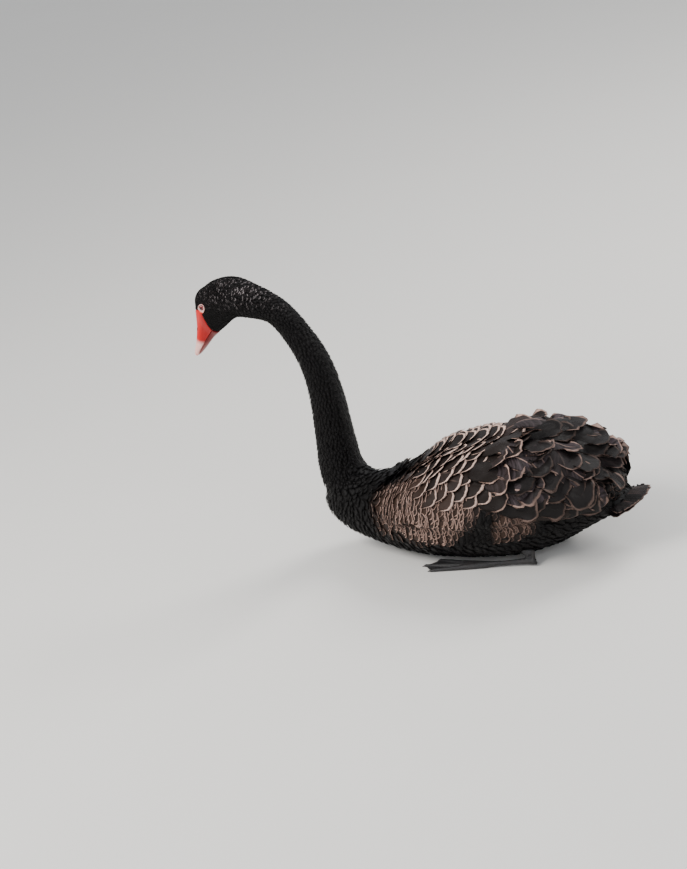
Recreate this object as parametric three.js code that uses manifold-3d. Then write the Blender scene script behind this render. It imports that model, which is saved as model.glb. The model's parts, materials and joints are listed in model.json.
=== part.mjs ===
// A black swan at rest on its belly, feet tucked under, wings folded and head lowered.
// Life size in millimetres, +Z up. The bird faces -X, its left side is towards -Y,
// and the origin is on the floor, under the middle of the belly.
// The body is modelled whole from smooth sections and parted with thin cuts.
import * as THREE from "three";
import { mergeVertices } from "three/addons/utils/BufferGeometryUtils.js";
import Module from "manifold-3d";

// Driving dimensions
const gap = 0.3; // clear space that touching pieces keep
const beyond = 600; // longer than anything that a cutter has to pass through

// The body as sections along X: half width, top, widest height and underside.
const torsoSections = {
  halfWidth: [[-272, 4], [-258, 24], [-238, 39], [-205, 52], [-160, 66], [-105, 87], [-40, 110], [35, 117], [110, 108],
    [180, 86], [240, 58], [285, 38], [312, 26]],
  top: [[-272, 92], [-258, 112], [-238, 124], [-205, 132], [-160, 134], [-105, 142], [-40, 172], [35, 192], [110, 192],
    [180, 176], [240, 146], [285, 116], [312, 98]],
  widest: [[-272, 88], [-205, 80], [-105, 80], [35, 84], [180, 94], [285, 94], [312, 88]],
  under: [[-272, 82], [-258, 58], [-238, 40], [-205, 22], [-160, 8], [-105, -1], [-40, -3], [35, -3], [110, -2],
    [180, 14], [240, 44], [285, 64], [312, 72]],
};
const torsoEnds = [-272, 312];
const torsoSteps = 22;
const torsoSides = 26;
const torsoSquareness = 2.25;

// The neck as a curve in the middle plane, from inside the breast to the back of the head, with its radii.
const neckCentres = [[-190, 84], [-221, 132], [-220, 205], [-215, 287], [-220, 350], [-241, 405], [-268, 446],
  [-298, 463], [-340, 476.5]];
const neckRadii = [54, 43, 35.5, 31.5, 29, 26.5, 25.5, 28.5, 35];
const neckSteps = 28;
const neckSides = 18;
const neckFlatness = 0.95; // width over depth
const neckCuts = [0.42, 0.69]; // where the three lengths meet, as shares of the curve

// The head and bill as sections from the neck to the bill's tip: upper and lower edge and half width.
const headSections = [
  { upper: [-326, 509], lower: [-330, 441], half: 33 },
  { upper: [-344, 512.5], lower: [-343, 441], half: 34 },
  { upper: [-363, 512.5], lower: [-354, 438.5], half: 33 },
  { upper: [-385, 507.5], lower: [-366, 431], half: 30.5 },
  { upper: [-403, 497], lower: [-377, 424], half: 27 },
  { upper: [-416.5, 484], lower: [-387, 417.5], half: 23.5 },
  { upper: [-424.5, 470], lower: [-396, 412], half: 20 },
  { upper: [-428.5, 456], lower: [-404, 407], half: 16.5 },
  { upper: [-432, 440], lower: [-411, 402], half: 15 },
  { upper: [-437, 422], lower: [-419, 395], half: 14 },
  { upper: [-442, 405], lower: [-428, 387], half: 14 },
  { upper: [-449, 389], lower: [-438, 378.5], half: 13.5 },
  { upper: [-453.5, 377], lower: [-447, 372], half: 9 },
];
const headSteps = 24;
const headSides = 20;

// Where bare bill meets feathers, in the middle plane: forehead, the point towards the eye, the gape and the chin.
const featherLine = [[-430, 458], [-405.5, 465.5], [-403.5, 447], [-400, 428], [-393, 408]];
const mouthLine = [[-401, 421], [-412, 411], [-423, 400], [-433, 389], [-444, 377], [-453, 367]];
const mouthGap = 0.5;

const eyeCentre = new THREE.Vector3(-400.5, 20.6, 470);
const eyeRadius = 6.4;
const lidRadius = 6.2;
const lidThickness = 1.9;
const lidOut = 3.2; // how far the lids stand out from the eye's centre

const nostril = { x: -431, y: 11.5, z: 424, length: 10, height: 3.4, depth: 3.6, tilt: 1.84 };

// The folded wing as a shell over the body, in the same kind of sections, and its lower edge seen from the side.
const wingSections = {
  halfWidth: [[-156, 66], [-130, 84], [-100, 100], [-45, 122], [30, 131], [110, 126], [180, 110], [230, 90], [270, 70],
    [300, 48], [320, 34], [380, 20]],
  top: [[-156, 130], [-130, 137], [-100, 147], [-56, 171], [-3, 190], [50, 202], [110, 207], [180, 204], [220, 193],
    [255, 172], [285, 143], [305, 122], [360, 104]],
  widest: [[-156, 100], [-100, 100], [30, 106], [110, 110], [230, 116], [300, 110], [360, 94]],
  under: [[-156, 66], [-100, 40], [30, 30], [180, 40], [300, 84], [360, 84]],
};
const wingEnds = [-154, 300];
const wingSteps = 15;
const wingSides = 20;
const wingSquareness = 2.2;
const wingLowerEdge = [[-158, 116], [-140, 106], [-90, 102], [0, 96], [90, 92], [180, 95], [260, 104], [330, 112]];

// The tail: a flattened core that carries a fan of flight feathers.
const tailCore = [
  { x: 276, half: 36, top: 112, under: 66 },
  { x: 292, half: 32, top: 104, under: 70 },
  { x: 308, half: 26, top: 99, under: 77 },
  { x: 320, half: 18, top: 96, under: 83 },
];

// The space above the tail that the wings leave clear.
const tailClearance = [
  { x: 270, half: 39, top: 116, under: 50 },
  { x: 292, half: 36, top: 108, under: 50 },
  { x: 320, half: 40, top: 104, under: 50 },
  { x: 360, half: 42, top: 104, under: 50 },
];

const tailFan = { count: 9, spread: 0.5, rootX: 272, rootZ: 90, length: 66, width: 26, climb: 0.12, layer: 1.6 };

// Feathers on each wing. Angles are round the body: 0 on the back's middle line, a quarter turn at the side.
const vaneThickness = 1.3;
const vaneCrown = 1; // how far the shaft stands above a vane's edges
const rootDepth = 3;
const vaneTilt = 1.6; // how far a vane's lower edge lifts over its neighbour
const rowGrid = { rows: 5, firstX: -136, stepX: 41, perRow: 4, firstAngle: 0.24, stepAngle: 0.38, stagger: 0.17,
  length: 70, width: 54, rise: 5 };
const curledFeathers = [
  { x: 62, angle: 0.2, length: 112, width: 52, heading: 0.02, arch: 10, twist: 0.12 },
  { x: 70, angle: 0.6, length: 108, width: 54, heading: 0.04, arch: 10, twist: -0.1 },
  { x: 66, angle: 1.02, length: 114, width: 54, heading: 0.0, arch: 11, twist: 0.14 },
  { x: 132, angle: 0.24, length: 104, width: 52, heading: 0.08, arch: 13, twist: -0.14 },
  { x: 138, angle: 0.7, length: 108, width: 54, heading: 0.08, arch: 12, twist: 0.16 },
  { x: 136, angle: 1.18, length: 112, width: 52, heading: 0.0, arch: 11, twist: -0.12 },
  { x: 190, angle: 0.36, length: 98, width: 48, heading: 0.14, arch: 11, twist: 0.16 },
  { x: 194, angle: 0.98, length: 100, width: 48, heading: 0.1, arch: 10, twist: -0.14 },
];
const quills = { count: 4, firstX: 44, stepX: 42, angle: 1.6, stepAngle: -0.03, length: 132, width: 36, heading: -0.1,
  rise: 3 };

// Legs and feet, for the left side; the right side is their mirror image.
const thighTop = new THREE.Vector3(108, -58, 58);
const heel = new THREE.Vector3(150, -76, 10);
const toeRoot = new THREE.Vector3(62, -86, 6);
const shankRadius = 6;
const toeTips = [[-36, -104], [-54, -87], [-34, -68]];
const toeRadius = 4;
const webThickness = 2;

const wasm = await Module();
wasm.setup();

// A closed three.js geometry as a solid, and a solid back as a geometry.
function solidOf(geometry) {
  const flat = geometry.index ? geometry.toNonIndexed() : geometry;
  const bare = new THREE.BufferGeometry().setAttribute("position", flat.getAttribute("position"));
  const merged = mergeVertices(bare, 1e-4);
  return new wasm.Manifold(new wasm.Mesh({
    numProp: 3,
    vertProperties: merged.attributes.position.array,
    triVerts: new Uint32Array(merged.index.array),
  }));
}

function geometryOf(solid) {
  const { vertProperties, triVerts } = solid.getMesh();
  const geometry = new THREE.BufferGeometry();
  geometry.setAttribute("position", new THREE.BufferAttribute(new Float32Array(vertProperties), 3));
  geometry.setIndex(new THREE.BufferAttribute(new Uint32Array(triVerts), 1));
  return geometry;
}

const union = (solids) => solids.reduce((all, one) => all.add(one));

// The largest closed body of a solid, so that loose scraps and sealed hollows are gone.
function largest(solid) {
  return solid.decompose().reduce((best, body) => (body.volume() > best.volume() ? body : best));
}

// A smooth curve through [place, value] pairs, as a function of place.
function smooth(pairs) {
  const slope = (i) => {
    const before = pairs[Math.max(0, i - 1)];
    const after = pairs[Math.min(pairs.length - 1, i + 1)];
    return (after[1] - before[1]) / (after[0] - before[0]);
  };
  return (place) => {
    const p = THREE.MathUtils.clamp(place, pairs[0][0], pairs.at(-1)[0]);
    const i = Math.min(pairs.length - 2, pairs.findLastIndex((pair) => pair[0] <= p));
    const width = pairs[i + 1][0] - pairs[i][0];
    const t = (p - pairs[i][0]) / width;
    return (2 * t ** 3 - 3 * t ** 2 + 1) * pairs[i][1] + (t ** 3 - 2 * t ** 2 + t) * width * slope(i)
      + (3 * t ** 2 - 2 * t ** 3) * pairs[i + 1][1] + (t ** 3 - t ** 2) * width * slope(i + 1);
  };
}

// A closed body through rings of points, with its faces turned to point out.
function loft(rings) {
  const sides = rings[0].length;
  const middle = (ring) => ring.reduce((sum, p) => sum.add(p), new THREE.Vector3()).divideScalar(sides);
  const points = [...rings.flat(), middle(rings[0]), middle(rings.at(-1))];
  const index = [];
  for (let r = 0; r + 1 < rings.length; r += 1) {
    for (let s = 0; s < sides; s += 1) {
      const a = r * sides + s;
      const b = r * sides + (s + 1) % sides;
      index.push(a, b, a + sides, b, b + sides, a + sides);
    }
  }
  const last = (rings.length - 1) * sides;
  for (let s = 0; s < sides; s += 1) {
    const next = (s + 1) % sides;
    index.push(s, points.length - 2, next, last + s, last + next, points.length - 1);
  }
  const geometry = new THREE.BufferGeometry().setFromPoints(points);
  geometry.setIndex(index);
  const solid = solidOf(geometry);
  return solid.volume() > 0 ? solid : solidOf(geometry.setIndex(index.reverse()));
}

const signedPower = (value, power) => Math.sign(value) * Math.abs(value) ** power;

// A skin with smooth sections along X. angle is 0 at the top, a quarter turn at the side and a half turn underneath.
function sectionedSkin(sections, squareness) {
  const curve = Object.fromEntries(Object.entries(sections).map(([name, pairs]) => [name, smooth(pairs)]));
  return (x, angle, raised = 0) => {
    const widest = curve.widest(x);
    const share = Math.cos(angle);
    const reach = (share > 0 ? curve.top(x) - widest : widest - curve.under(x)) + raised;
    return new THREE.Vector3(
      x,
      (curve.halfWidth(x) + raised) * signedPower(Math.sin(angle), 2 / squareness),
      widest + reach * signedPower(share, 2 / squareness),
    );
  };
}

function skinSolid(skin, [start, end], steps, sides, raised = 0) {
  const rings = [];
  for (let i = 0; i <= steps; i += 1) {
    // More rings near the two ends, where the body rounds off.
    const share = (1 - Math.cos(Math.PI * i / steps)) / 2;
    const x = start - raised + share * (end - start + 2 * raised);
    rings.push(Array.from({ length: sides }, (_, s) => skin(x, 2 * Math.PI * s / sides, raised)));
  }
  return loft(rings);
}

// A shape drawn in the XZ plane and run from side to side, as a cutter.
function sideCutter(outline) {
  const shape = new THREE.Shape(outline.map(([x, z]) => new THREE.Vector2(x, z)));
  const geometry = new THREE.ExtrudeGeometry(shape, { depth: beyond, bevelEnabled: false });
  geometry.translate(0, 0, -beyond / 2);
  geometry.rotateX(Math.PI / 2);
  return solidOf(geometry);
}

// Everything on one side of a plane that faces along the normal and passes through the point.
function halfSpace(normal, point) {
  const box = new THREE.BoxGeometry(2 * beyond, 2 * beyond, 2 * beyond);
  box.translate(0, 0, beyond);
  box.applyQuaternion(new THREE.Quaternion().setFromUnitVectors(new THREE.Vector3(0, 0, 1), normal));
  box.translate(point.x, point.y, point.z);
  return solidOf(box);
}

const up = new THREE.Vector3(0, 0, 1);
const aboveFloor = halfSpace(up, new THREE.Vector3());

// A round bar along a path of points, with a radius at each, flattened from side to side or in height.
function bar(path, radii, sides, flat = 1) {
  const rings = path.map((point, i) => {
    const along = path[Math.min(i + 1, path.length - 1)].clone().sub(path[Math.max(i - 1, 0)]).normalize();
    const across = new THREE.Vector3().crossVectors(up, along).normalize();
    const over = new THREE.Vector3().crossVectors(along, across);
    return Array.from({ length: sides }, (_, s) => {
      const angle = 2 * Math.PI * s / sides;
      return point.clone().addScaledVector(across, radii[i] * Math.cos(angle))
        .addScaledVector(over, radii[i] * flat * Math.sin(angle));
    });
  });
  return loft(rings);
}

// Torso
const torsoSkin = sectionedSkin(torsoSections, torsoSquareness);
const torsoWhole = skinSolid(torsoSkin, torsoEnds, torsoSteps, torsoSides);
const torsoRoom = skinSolid(torsoSkin, torsoEnds, torsoSteps, torsoSides, 1.5 * gap);

// Neck: one tube along a curve in the middle plane, cut into three lengths.
const neckCurve = new THREE.CatmullRomCurve3(neckCentres.map(([x, z]) => new THREE.Vector3(x, 0, z)), false, "centripetal");
const neckRadius = smooth(neckRadii.map((r, i) => [i / (neckRadii.length - 1), r]));

function neckRing(share) {
  const centre = neckCurve.getPoint(share);
  const along = neckCurve.getTangent(share);
  const across = new THREE.Vector3(0, 1, 0);
  const over = new THREE.Vector3().crossVectors(across, along);
  const radius = neckRadius(share);
  return Array.from({ length: neckSides }, (_, s) => {
    const angle = 2 * Math.PI * s / neckSides;
    return centre.clone().addScaledVector(over, radius * Math.cos(angle))
      .addScaledVector(across, radius * neckFlatness * Math.sin(angle));
  });
}

const neckWhole = loft(Array.from({ length: neckSteps + 1 }, (_, i) => neckRing(i / neckSteps)));

function neckPlane(share, away) {
  const along = neckCurve.getTangent(share);
  const point = neckCurve.getPoint(share).addScaledVector(along, away);
  return { along, point };
}

// The part of a solid that lies between two shares of the neck's curve.
function neckLength(solid, from, to) {
  let cut = solid;
  if (from > 0) {
    const { along, point } = neckPlane(from, gap / 2);
    cut = cut.intersect(halfSpace(along, point));
  }
  if (to < 1) {
    const { along, point } = neckPlane(to, -gap / 2);
    cut = cut.intersect(halfSpace(along.negate(), point));
  }
  return cut;
}

// Head and bill: modelled whole, then parted along the feather line and the mouth.
const headCurves = {
  upperX: smooth(headSections.map((s, i) => [i, s.upper[0]])),
  upperZ: smooth(headSections.map((s, i) => [i, s.upper[1]])),
  lowerX: smooth(headSections.map((s, i) => [i, s.lower[0]])),
  lowerZ: smooth(headSections.map((s, i) => [i, s.lower[1]])),
  half: smooth(headSections.map((s, i) => [i, s.half])),
};

function headRing(place) {
  const upper = new THREE.Vector3(headCurves.upperX(place), 0, headCurves.upperZ(place));
  const lower = new THREE.Vector3(headCurves.lowerX(place), 0, headCurves.lowerZ(place));
  const centre = upper.clone().add(lower).multiplyScalar(0.5);
  const over = upper.clone().sub(lower).multiplyScalar(0.5);
  const across = new THREE.Vector3(0, headCurves.half(place), 0);
  return Array.from({ length: headSides }, (_, s) => {
    const angle = 2 * Math.PI * s / headSides;
    return centre.clone().addScaledVector(over, signedPower(Math.cos(angle), 0.92))
      .addScaledVector(across, signedPower(Math.sin(angle), 0.92));
  });
}

const headWhole = loft(Array.from({ length: headSteps + 1 },
  (_, i) => headRing((headSections.length - 1) * i / headSteps)));

// A line in the XZ plane moved sideways, to its left where distance is positive.
function movedLine(line, distance) {
  const points = line.map(([x, z]) => new THREE.Vector2(x, z));
  return points.map((point, i) => {
    const sides = [points[i].clone().sub(points[Math.max(0, i - 1)]),
      points[Math.min(i + 1, points.length - 1)].clone().sub(points[i])]
      .filter((step) => step.length() > 0)
      .map((step) => new THREE.Vector2(-step.y, step.x).normalize());
    const normal = sides[0].clone().add(sides.at(-1)).normalize();
    return point.addScaledVector(normal, distance / normal.dot(sides[0])).toArray();
  });
}

// The bill's outline in side view: it runs along the feather line and round past the bill's tip.
function billOutline(away) {
  const line = movedLine([[-beyond, featherLine[0][1]], ...featherLine, [featherLine.at(-1)[0], 300]], away);
  return [...line, [-beyond, 300]];
}

// All that lies above the mouth in side view.
function aboveMouth(away) {
  const line = movedLine([[-380, mouthLine[0][1] + 20], ...mouthLine, [-480, 330]], away);
  return [...line, [-beyond, 330], [-beyond, 560], [-380, 560]];
}

const billWhole = headWhole.intersect(sideCutter(billOutline(0)));
const upperBillSide = sideCutter(aboveMouth(-mouthGap / 2));
const lowerBillCut = sideCutter(aboveMouth(mouthGap / 2));

const mirrored = (point) => new THREE.Vector3(point.x, -point.y, point.z);
const bothSides = [{ name: "left", sign: -1, seed: 11 }, { name: "right", sign: 1, seed: 23 }];

function ball(radius, centre, scale = [1, 1, 1], tilt = 0) {
  const geometry = new THREE.SphereGeometry(radius, 14, 9);
  geometry.scale(...scale);
  geometry.rotateY(tilt);
  geometry.translate(centre.x, centre.y, centre.z);
  return solidOf(geometry);
}

function eyelids(centre) {
  const ring = new THREE.TorusGeometry(lidRadius, lidThickness, 7, 16);
  ring.rotateX(Math.PI / 2);
  ring.translate(centre.x, centre.y + Math.sign(centre.y) * lidOut, centre.z);
  return solidOf(ring);
}

const eyeAt = ({ sign }) => new THREE.Vector3(eyeCentre.x, sign * eyeCentre.y, eyeCentre.z);

function makeHead() {
  let head = union([headWhole, ...bothSides.map((side) => eyelids(eyeAt(side)))]);
  head = head.subtract(sideCutter(billOutline(gap)));
  for (const side of bothSides) {
    head = head.subtract(ball(eyeRadius + gap, eyeAt(side)));
  }
  const end = neckPlane(1, gap / 2);
  return head.intersect(halfSpace(end.along, end.point));
}

function makeUpperBill() {
  let bill = billWhole.intersect(upperBillSide);
  for (const { sign } of bothSides) {
    const centre = new THREE.Vector3(nostril.x, sign * nostril.y, nostril.z);
    const scale = [nostril.length / 2, nostril.depth, nostril.height / 2];
    bill = bill.subtract(ball(1, centre, scale, nostril.tilt));
    bill = bill.subtract(ball(eyeRadius + gap, eyeAt({ sign })));
  }
  return bill;
}

// Feathers: a vane is a thin plate, crowned along its shaft, with a rounded tip.
const vaneStations = [0, 0.32, 0.64, 0.88, 1];
const vaneShape = smooth([[0, 0.5], [0.32, 0.9], [0.64, 1], [0.88, 0.8], [1, 0.34]]);

// rows give the two edges and the shaft of a vane, from root to tip.
function plate(rows, thickness) {
  return loft(rows.map(({ left, shaft, right }) => {
    const across = right.clone().sub(left);
    const along = rows.at(-1).shaft.clone().sub(rows[0].shaft);
    const out = new THREE.Vector3().crossVectors(along, across).normalize().multiplyScalar(thickness / 2);
    const over = [left, shaft, right].map((p) => p.clone().add(out));
    const below = [right, shaft, left].map((p) => p.clone().sub(out));
    return [...over, ...below];
  }));
}

// A vane that lies along a skin, with its root sunk in. It runs back from its root, turned down by heading, and
// lies as high as rise at its tip, with an arch and a twist between root and tip.
function skinVane(skin, sign, { x, angle, length, width, heading, rise = 4, arch = 0, twist = 0 }) {
  const round = skin(x, Math.PI / 2).y;
  const place = (along, aside, raised) => {
    const back = along * Math.cos(heading) - aside * Math.sin(heading);
    const down = along * Math.sin(heading) + aside * Math.cos(heading);
    const point = skin(x + back, angle + down / round, raised);
    point.y *= sign;
    return point;
  };
  const rows = vaneStations.map((share) => {
    const half = width / 2 * vaneShape(share);
    const raised = THREE.MathUtils.lerp(-rootDepth, rise, share) + arch * Math.sin(Math.PI * share ** 0.8);
    const lean = half * twist * Math.sin(2 * Math.PI * share);
    const along = share * length;
    return {
      left: place(along, -half, raised - lean - vaneCrown - vaneTilt),
      shaft: place(along, 0, raised),
      right: place(along, half, raised + lean - vaneCrown + vaneTilt),
    };
  });
  return plate(rows, vaneThickness);
}

// Repeatable random numbers from 0 to 1.
function randomFrom(seed) {
  let state = seed;
  return () => {
    state = (state * 1664525 + 1013904223) % 4294967296;
    return state / 4294967296;
  };
}

// Tail
const tailSkinRing = ({ x, half, top, under }) => Array.from({ length: 16 }, (_, s) => {
  const angle = 2 * Math.PI * s / 16;
  const middle = (top + under) / 2;
  return new THREE.Vector3(x, half * Math.sin(angle), middle + (top - under) / 2 * Math.cos(angle));
});
const tailCoreSolid = loft(tailCore.map(tailSkinRing));

// One tail feather: side runs from -1 to 1 across the fan, and the middle feathers lie on top.
function tailVane(side) {
  const { spread, rootX, rootZ, length, width, climb, layer, count } = tailFan;
  const turn = side * spread;
  const out = new THREE.Vector3(Math.cos(turn), Math.sin(turn), climb);
  const across = new THREE.Vector3(-Math.sin(turn), Math.cos(turn), 0);
  const level = rootZ - Math.abs(side) * layer * count / 2;
  const root = new THREE.Vector3(rootX, side * 16, level);
  return plate(vaneStations.map((share) => {
    const shaft = root.clone().addScaledVector(out, share * length * (1 - 0.14 * side * side));
    const half = width / 2 * vaneShape(share);
    const edge = (way) => shaft.clone().addScaledVector(across, way * half).setZ(shaft.z - 1.5 * vaneCrown);
    return { left: edge(-1), shaft, right: edge(1) };
  }), vaneThickness);
}

function makeTail() {
  const sides = Array.from({ length: tailFan.count }, (_, i) => 2 * i / (tailFan.count - 1) - 1);
  return union([tailCoreSolid, ...sides.map(tailVane)]);
}

// Wings
const wingSkin = sectionedSkin(wingSections, wingSquareness);
const wingShell = skinSolid(wingSkin, wingEnds, wingSteps, wingSides);
const wingOutline = [...wingLowerEdge, [wingLowerEdge.at(-1)[0], 400], [wingLowerEdge[0][0], 400]];
const tailRoom = loft(tailClearance.map(tailSkinRing));

// The rounded feathers of the shoulder and back, in staggered rows.
function shoulderFeathers(sign, random) {
  const { rows, firstX, stepX, perRow, firstAngle, stepAngle, stagger, length, width, rise } = rowGrid;
  return Array.from({ length: rows * perRow }, (_, i) => {
    const row = Math.floor(i / perRow);
    return skinVane(wingSkin, sign, {
      x: firstX + row * stepX + 8 * (random() - 0.5),
      angle: firstAngle + (i % perRow) * stepAngle + (row % 2) * stagger + 0.05 * (random() - 0.5),
      length: length * (0.92 + 0.16 * random()),
      width: width * (0.94 + 0.12 * random()),
      heading: 0.1 + 0.16 * (random() - 0.5),
      rise: rise + 2 * random(),
    });
  });
}

// The broad ruffled feathers that curl over the rump.
function rumpFeathers(sign, random) {
  return curledFeathers.map((feather) => skinVane(wingSkin, sign, {
    ...feather,
    length: feather.length * (0.95 + 0.1 * random()),
    heading: feather.heading + 0.08 * (random() - 0.5),
    arch: feather.arch * (0.85 + 0.3 * random()),
    twist: feather.twist * (0.8 + 0.4 * random()),
  }));
}

// The long flight feathers along the wing's lower edge.
function flightFeathers(sign, random) {
  const { count, firstX, stepX, angle, stepAngle, length, width, heading, rise } = quills;
  return Array.from({ length: count }, (_, i) => skinVane(wingSkin, sign, {
    x: firstX + i * stepX,
    angle: angle + i * stepAngle,
    length: length * (0.96 + 0.08 * random()),
    width,
    heading: heading + 0.03 * (random() - 0.5),
    rise,
  }));
}

function makeWing({ sign, seed }) {
  const random = randomFrom(seed);
  const ownSide = halfSpace(new THREE.Vector3(0, sign, 0), new THREE.Vector3(0, sign * gap, 0));
  const shell = wingShell.intersect(sideCutter(wingOutline));
  const feathers = [
    ...flightFeathers(sign, random), ...rumpFeathers(sign, random), ...shoulderFeathers(sign, random),
  ];
  return union([shell, ...feathers]).intersect(ownSide).subtract(torsoRoom).subtract(tailRoom);
}

// Legs and feet
const sided = (point, sign) => (sign < 0 ? point.clone() : mirrored(point));

function makeLeg({ sign }) {
  const path = [thighTop, thighTop.clone().lerp(heel, 0.8), heel, heel.clone().lerp(toeRoot, 0.5), toeRoot];
  const radii = [17, 9, 8, shankRadius, shankRadius];
  const end = new THREE.Vector3(toeRoot.x + gap / 2, 0, 0);
  return bar(path.map((p) => sided(p, sign)), radii, 12).intersect(aboveFloor).subtract(torsoRoom)
    .intersect(halfSpace(new THREE.Vector3(1, 0, 0), end));
}

function makeFoot({ sign }) {
  const root = new THREE.Vector3(toeRoot.x + 4, toeRoot.y, shankRadius);
  const tips = toeTips.map(([x, y]) => new THREE.Vector3(x, y, toeRadius * 0.6));
  const toes = tips.map((tip) => {
    const knuckle = root.clone().lerp(tip, 0.55).setZ(toeRadius * 0.9);
    return bar([root, knuckle, tip].map((p) => sided(p, sign)), [shankRadius, toeRadius, toeRadius * 0.6], 8);
  });
  const web = new THREE.Shape([root, ...tips].map((p) => new THREE.Vector2(p.x, p.y * -sign)));
  const sheet = new THREE.ExtrudeGeometry(web, { depth: webThickness, bevelEnabled: false });
  sheet.translate(0, 0, webThickness / 2);
  const end = new THREE.Vector3(toeRoot.x - gap / 2, 0, 0);
  return union([...toes, solidOf(sheet)]).intersect(aboveFloor).subtract(torsoRoom)
    .intersect(halfSpace(new THREE.Vector3(-1, 0, 0), end));
}

// Colours from the photograph, one material for each kind of surface.
const finish = (color, roughness) => new THREE.MeshStandardMaterial({ color, roughness, metalness: 0 });
const plumage = finish(0x14110f, 0.75);
const wingPlumage = finish(0x241d1b, 0.7);
const billRed = finish(0xc4261a, 0.4);
const eyeRed = finish(0x8f1d12, 0.1);
const legGrey = finish(0x2b2b2e, 0.6);

const swan = new THREE.Group();

function addPiece(name, solid, material) {
  const mesh = new THREE.Mesh(geometryOf(largest(solid)), material);
  mesh.name = name;
  swan.add(mesh);
}

addPiece("torso", torsoWhole.intersect(aboveFloor), plumage);
addPiece("neck_lower", neckLength(neckWhole, 0, neckCuts[0]).subtract(torsoRoom), plumage);
addPiece("neck_middle", neckLength(neckWhole, neckCuts[0], neckCuts[1]), plumage);
addPiece("neck_upper", neckLength(neckWhole, neckCuts[1], 1)
  .intersect(halfSpace(neckPlane(1, 0).along.negate(), neckPlane(1, -gap / 2).point)), plumage);
addPiece("head", makeHead(), plumage);
addPiece("bill_upper", makeUpperBill(), billRed);
addPiece("bill_lower", billWhole.subtract(lowerBillCut), billRed);
addPiece("tail", makeTail().subtract(torsoRoom), wingPlumage);
for (const side of bothSides) {
  addPiece(`eye_${side.name}`, ball(eyeRadius, eyeAt(side)), eyeRed);
  addPiece(`wing_${side.name}`, makeWing(side), wingPlumage);
  addPiece(`leg_${side.name}`, makeLeg(side), legGrey);
  addPiece(`foot_${side.name}`, makeFoot(side), legGrey);
}

export default swan;
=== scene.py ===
"""Dresses the life-size black swan: one skin, feathers in pieces, bill, eyes, lids, legs and feet, on a pale floor."""
import json
import math
import random
from itertools import product

import bpy
from mathutils import Matrix, Vector, noise
from mathutils.bvhtree import BVHTree

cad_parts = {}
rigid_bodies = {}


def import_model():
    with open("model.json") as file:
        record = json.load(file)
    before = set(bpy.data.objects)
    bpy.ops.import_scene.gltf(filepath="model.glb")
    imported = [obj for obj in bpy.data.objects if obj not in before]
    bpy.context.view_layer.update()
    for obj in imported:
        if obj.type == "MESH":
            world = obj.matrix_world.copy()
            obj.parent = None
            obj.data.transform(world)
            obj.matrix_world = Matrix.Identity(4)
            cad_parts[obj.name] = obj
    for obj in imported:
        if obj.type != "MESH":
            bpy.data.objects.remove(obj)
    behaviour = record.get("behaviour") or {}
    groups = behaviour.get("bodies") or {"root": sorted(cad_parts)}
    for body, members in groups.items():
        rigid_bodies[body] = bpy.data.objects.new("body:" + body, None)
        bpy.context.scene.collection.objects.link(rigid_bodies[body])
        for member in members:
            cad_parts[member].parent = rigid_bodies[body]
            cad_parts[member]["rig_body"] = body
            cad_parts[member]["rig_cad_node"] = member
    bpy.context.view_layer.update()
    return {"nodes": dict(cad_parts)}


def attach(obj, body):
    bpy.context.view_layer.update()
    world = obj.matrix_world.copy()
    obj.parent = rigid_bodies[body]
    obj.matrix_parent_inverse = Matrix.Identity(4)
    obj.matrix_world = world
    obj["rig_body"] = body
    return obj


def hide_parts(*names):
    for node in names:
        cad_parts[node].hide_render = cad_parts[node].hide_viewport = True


bl_info = {
    "name": "Black swan",
    "version": (1, 0, 0),
    "blender": (4, 5, 0),
    "location": "3D View > Sidebar > Swan",
    "description": "Skin, plumage, bill, eyes and feet of a resting black swan",
    "category": "Object",
}

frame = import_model()

MM = 0.001
FLESH = ["torso", "neck_lower", "neck_middle", "neck_upper", "head"]
WINGS = ["wing_left", "wing_right"]
SIDES = {"left": -1, "right": 1}

# The middle line of the body from the bill's base to the tail, in millimetres in the middle plane.
SPINE = [(-418, 440), (-398, 462), (-370, 476), (-340, 476), (-298, 463), (-268, 446), (-241, 405), (-220, 350),
         (-215, 287), (-220, 205), (-216, 150), (-190, 108), (-140, 88), (-60, 84), (40, 90), (150, 98), (250, 98),
         (330, 92)]
SPINE_COUNT = 64

# Where the bill's bare skin meets the feathers, seen from the side, in millimetres.
FEATHER_LINE = [(-430, 458), (-405.5, 465.5), (-403.5, 447), (-400, 428), (-393, 408)]

# The bill's line from base to tip, and the ways along it and out of its ridge.
BILL_BASE = Vector((-416, 0, 460)) * MM
BILL_AXIS = Vector((-454, 0, 374)) * MM - BILL_BASE
BILL_WAY = BILL_AXIS.normalized()
BILL_FRONT = Vector((BILL_WAY.z, 0, -BILL_WAY.x))
NOSTRIL = Vector((-431, 11.5, 424)) * MM

# The right eye's centre, and the way from it to the bill.
EYE = Vector((-400.5, 20.6, 470)) * MM
LORE_WAY = Vector((-0.43, 0, -0.9)).normalized()

# Where the head's feathers give way to the neck's, the upper neck's to the lower neck's, and the neck's to the body's.
HEAD_END = -335 * MM
UPPER_NECK_END = 330 * MM
NECK_END = 140 * MM

# The way that the back's feathers point.
BACKWARD = Vector((1, 0, -0.03))

# The lowest height of a feather and of a foot above the floor.
FEATHER_FLOOR = 0.4 * MM
FOOT_FLOOR = 0.1 * MM


def smooth_step(low, high, value):
    """0 below low, 1 above high and a soft curve between them."""
    share = min(1.0, max(0.0, (value - low) / (high - low)))
    return share * share * (3 - 2 * share)


def soft_box(value, low, high, soft):
    """1 between low and high, fading to 0 over soft on both sides."""
    return smooth_step(low - soft, low, value) * (1 - smooth_step(high, high + soft, value))


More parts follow.
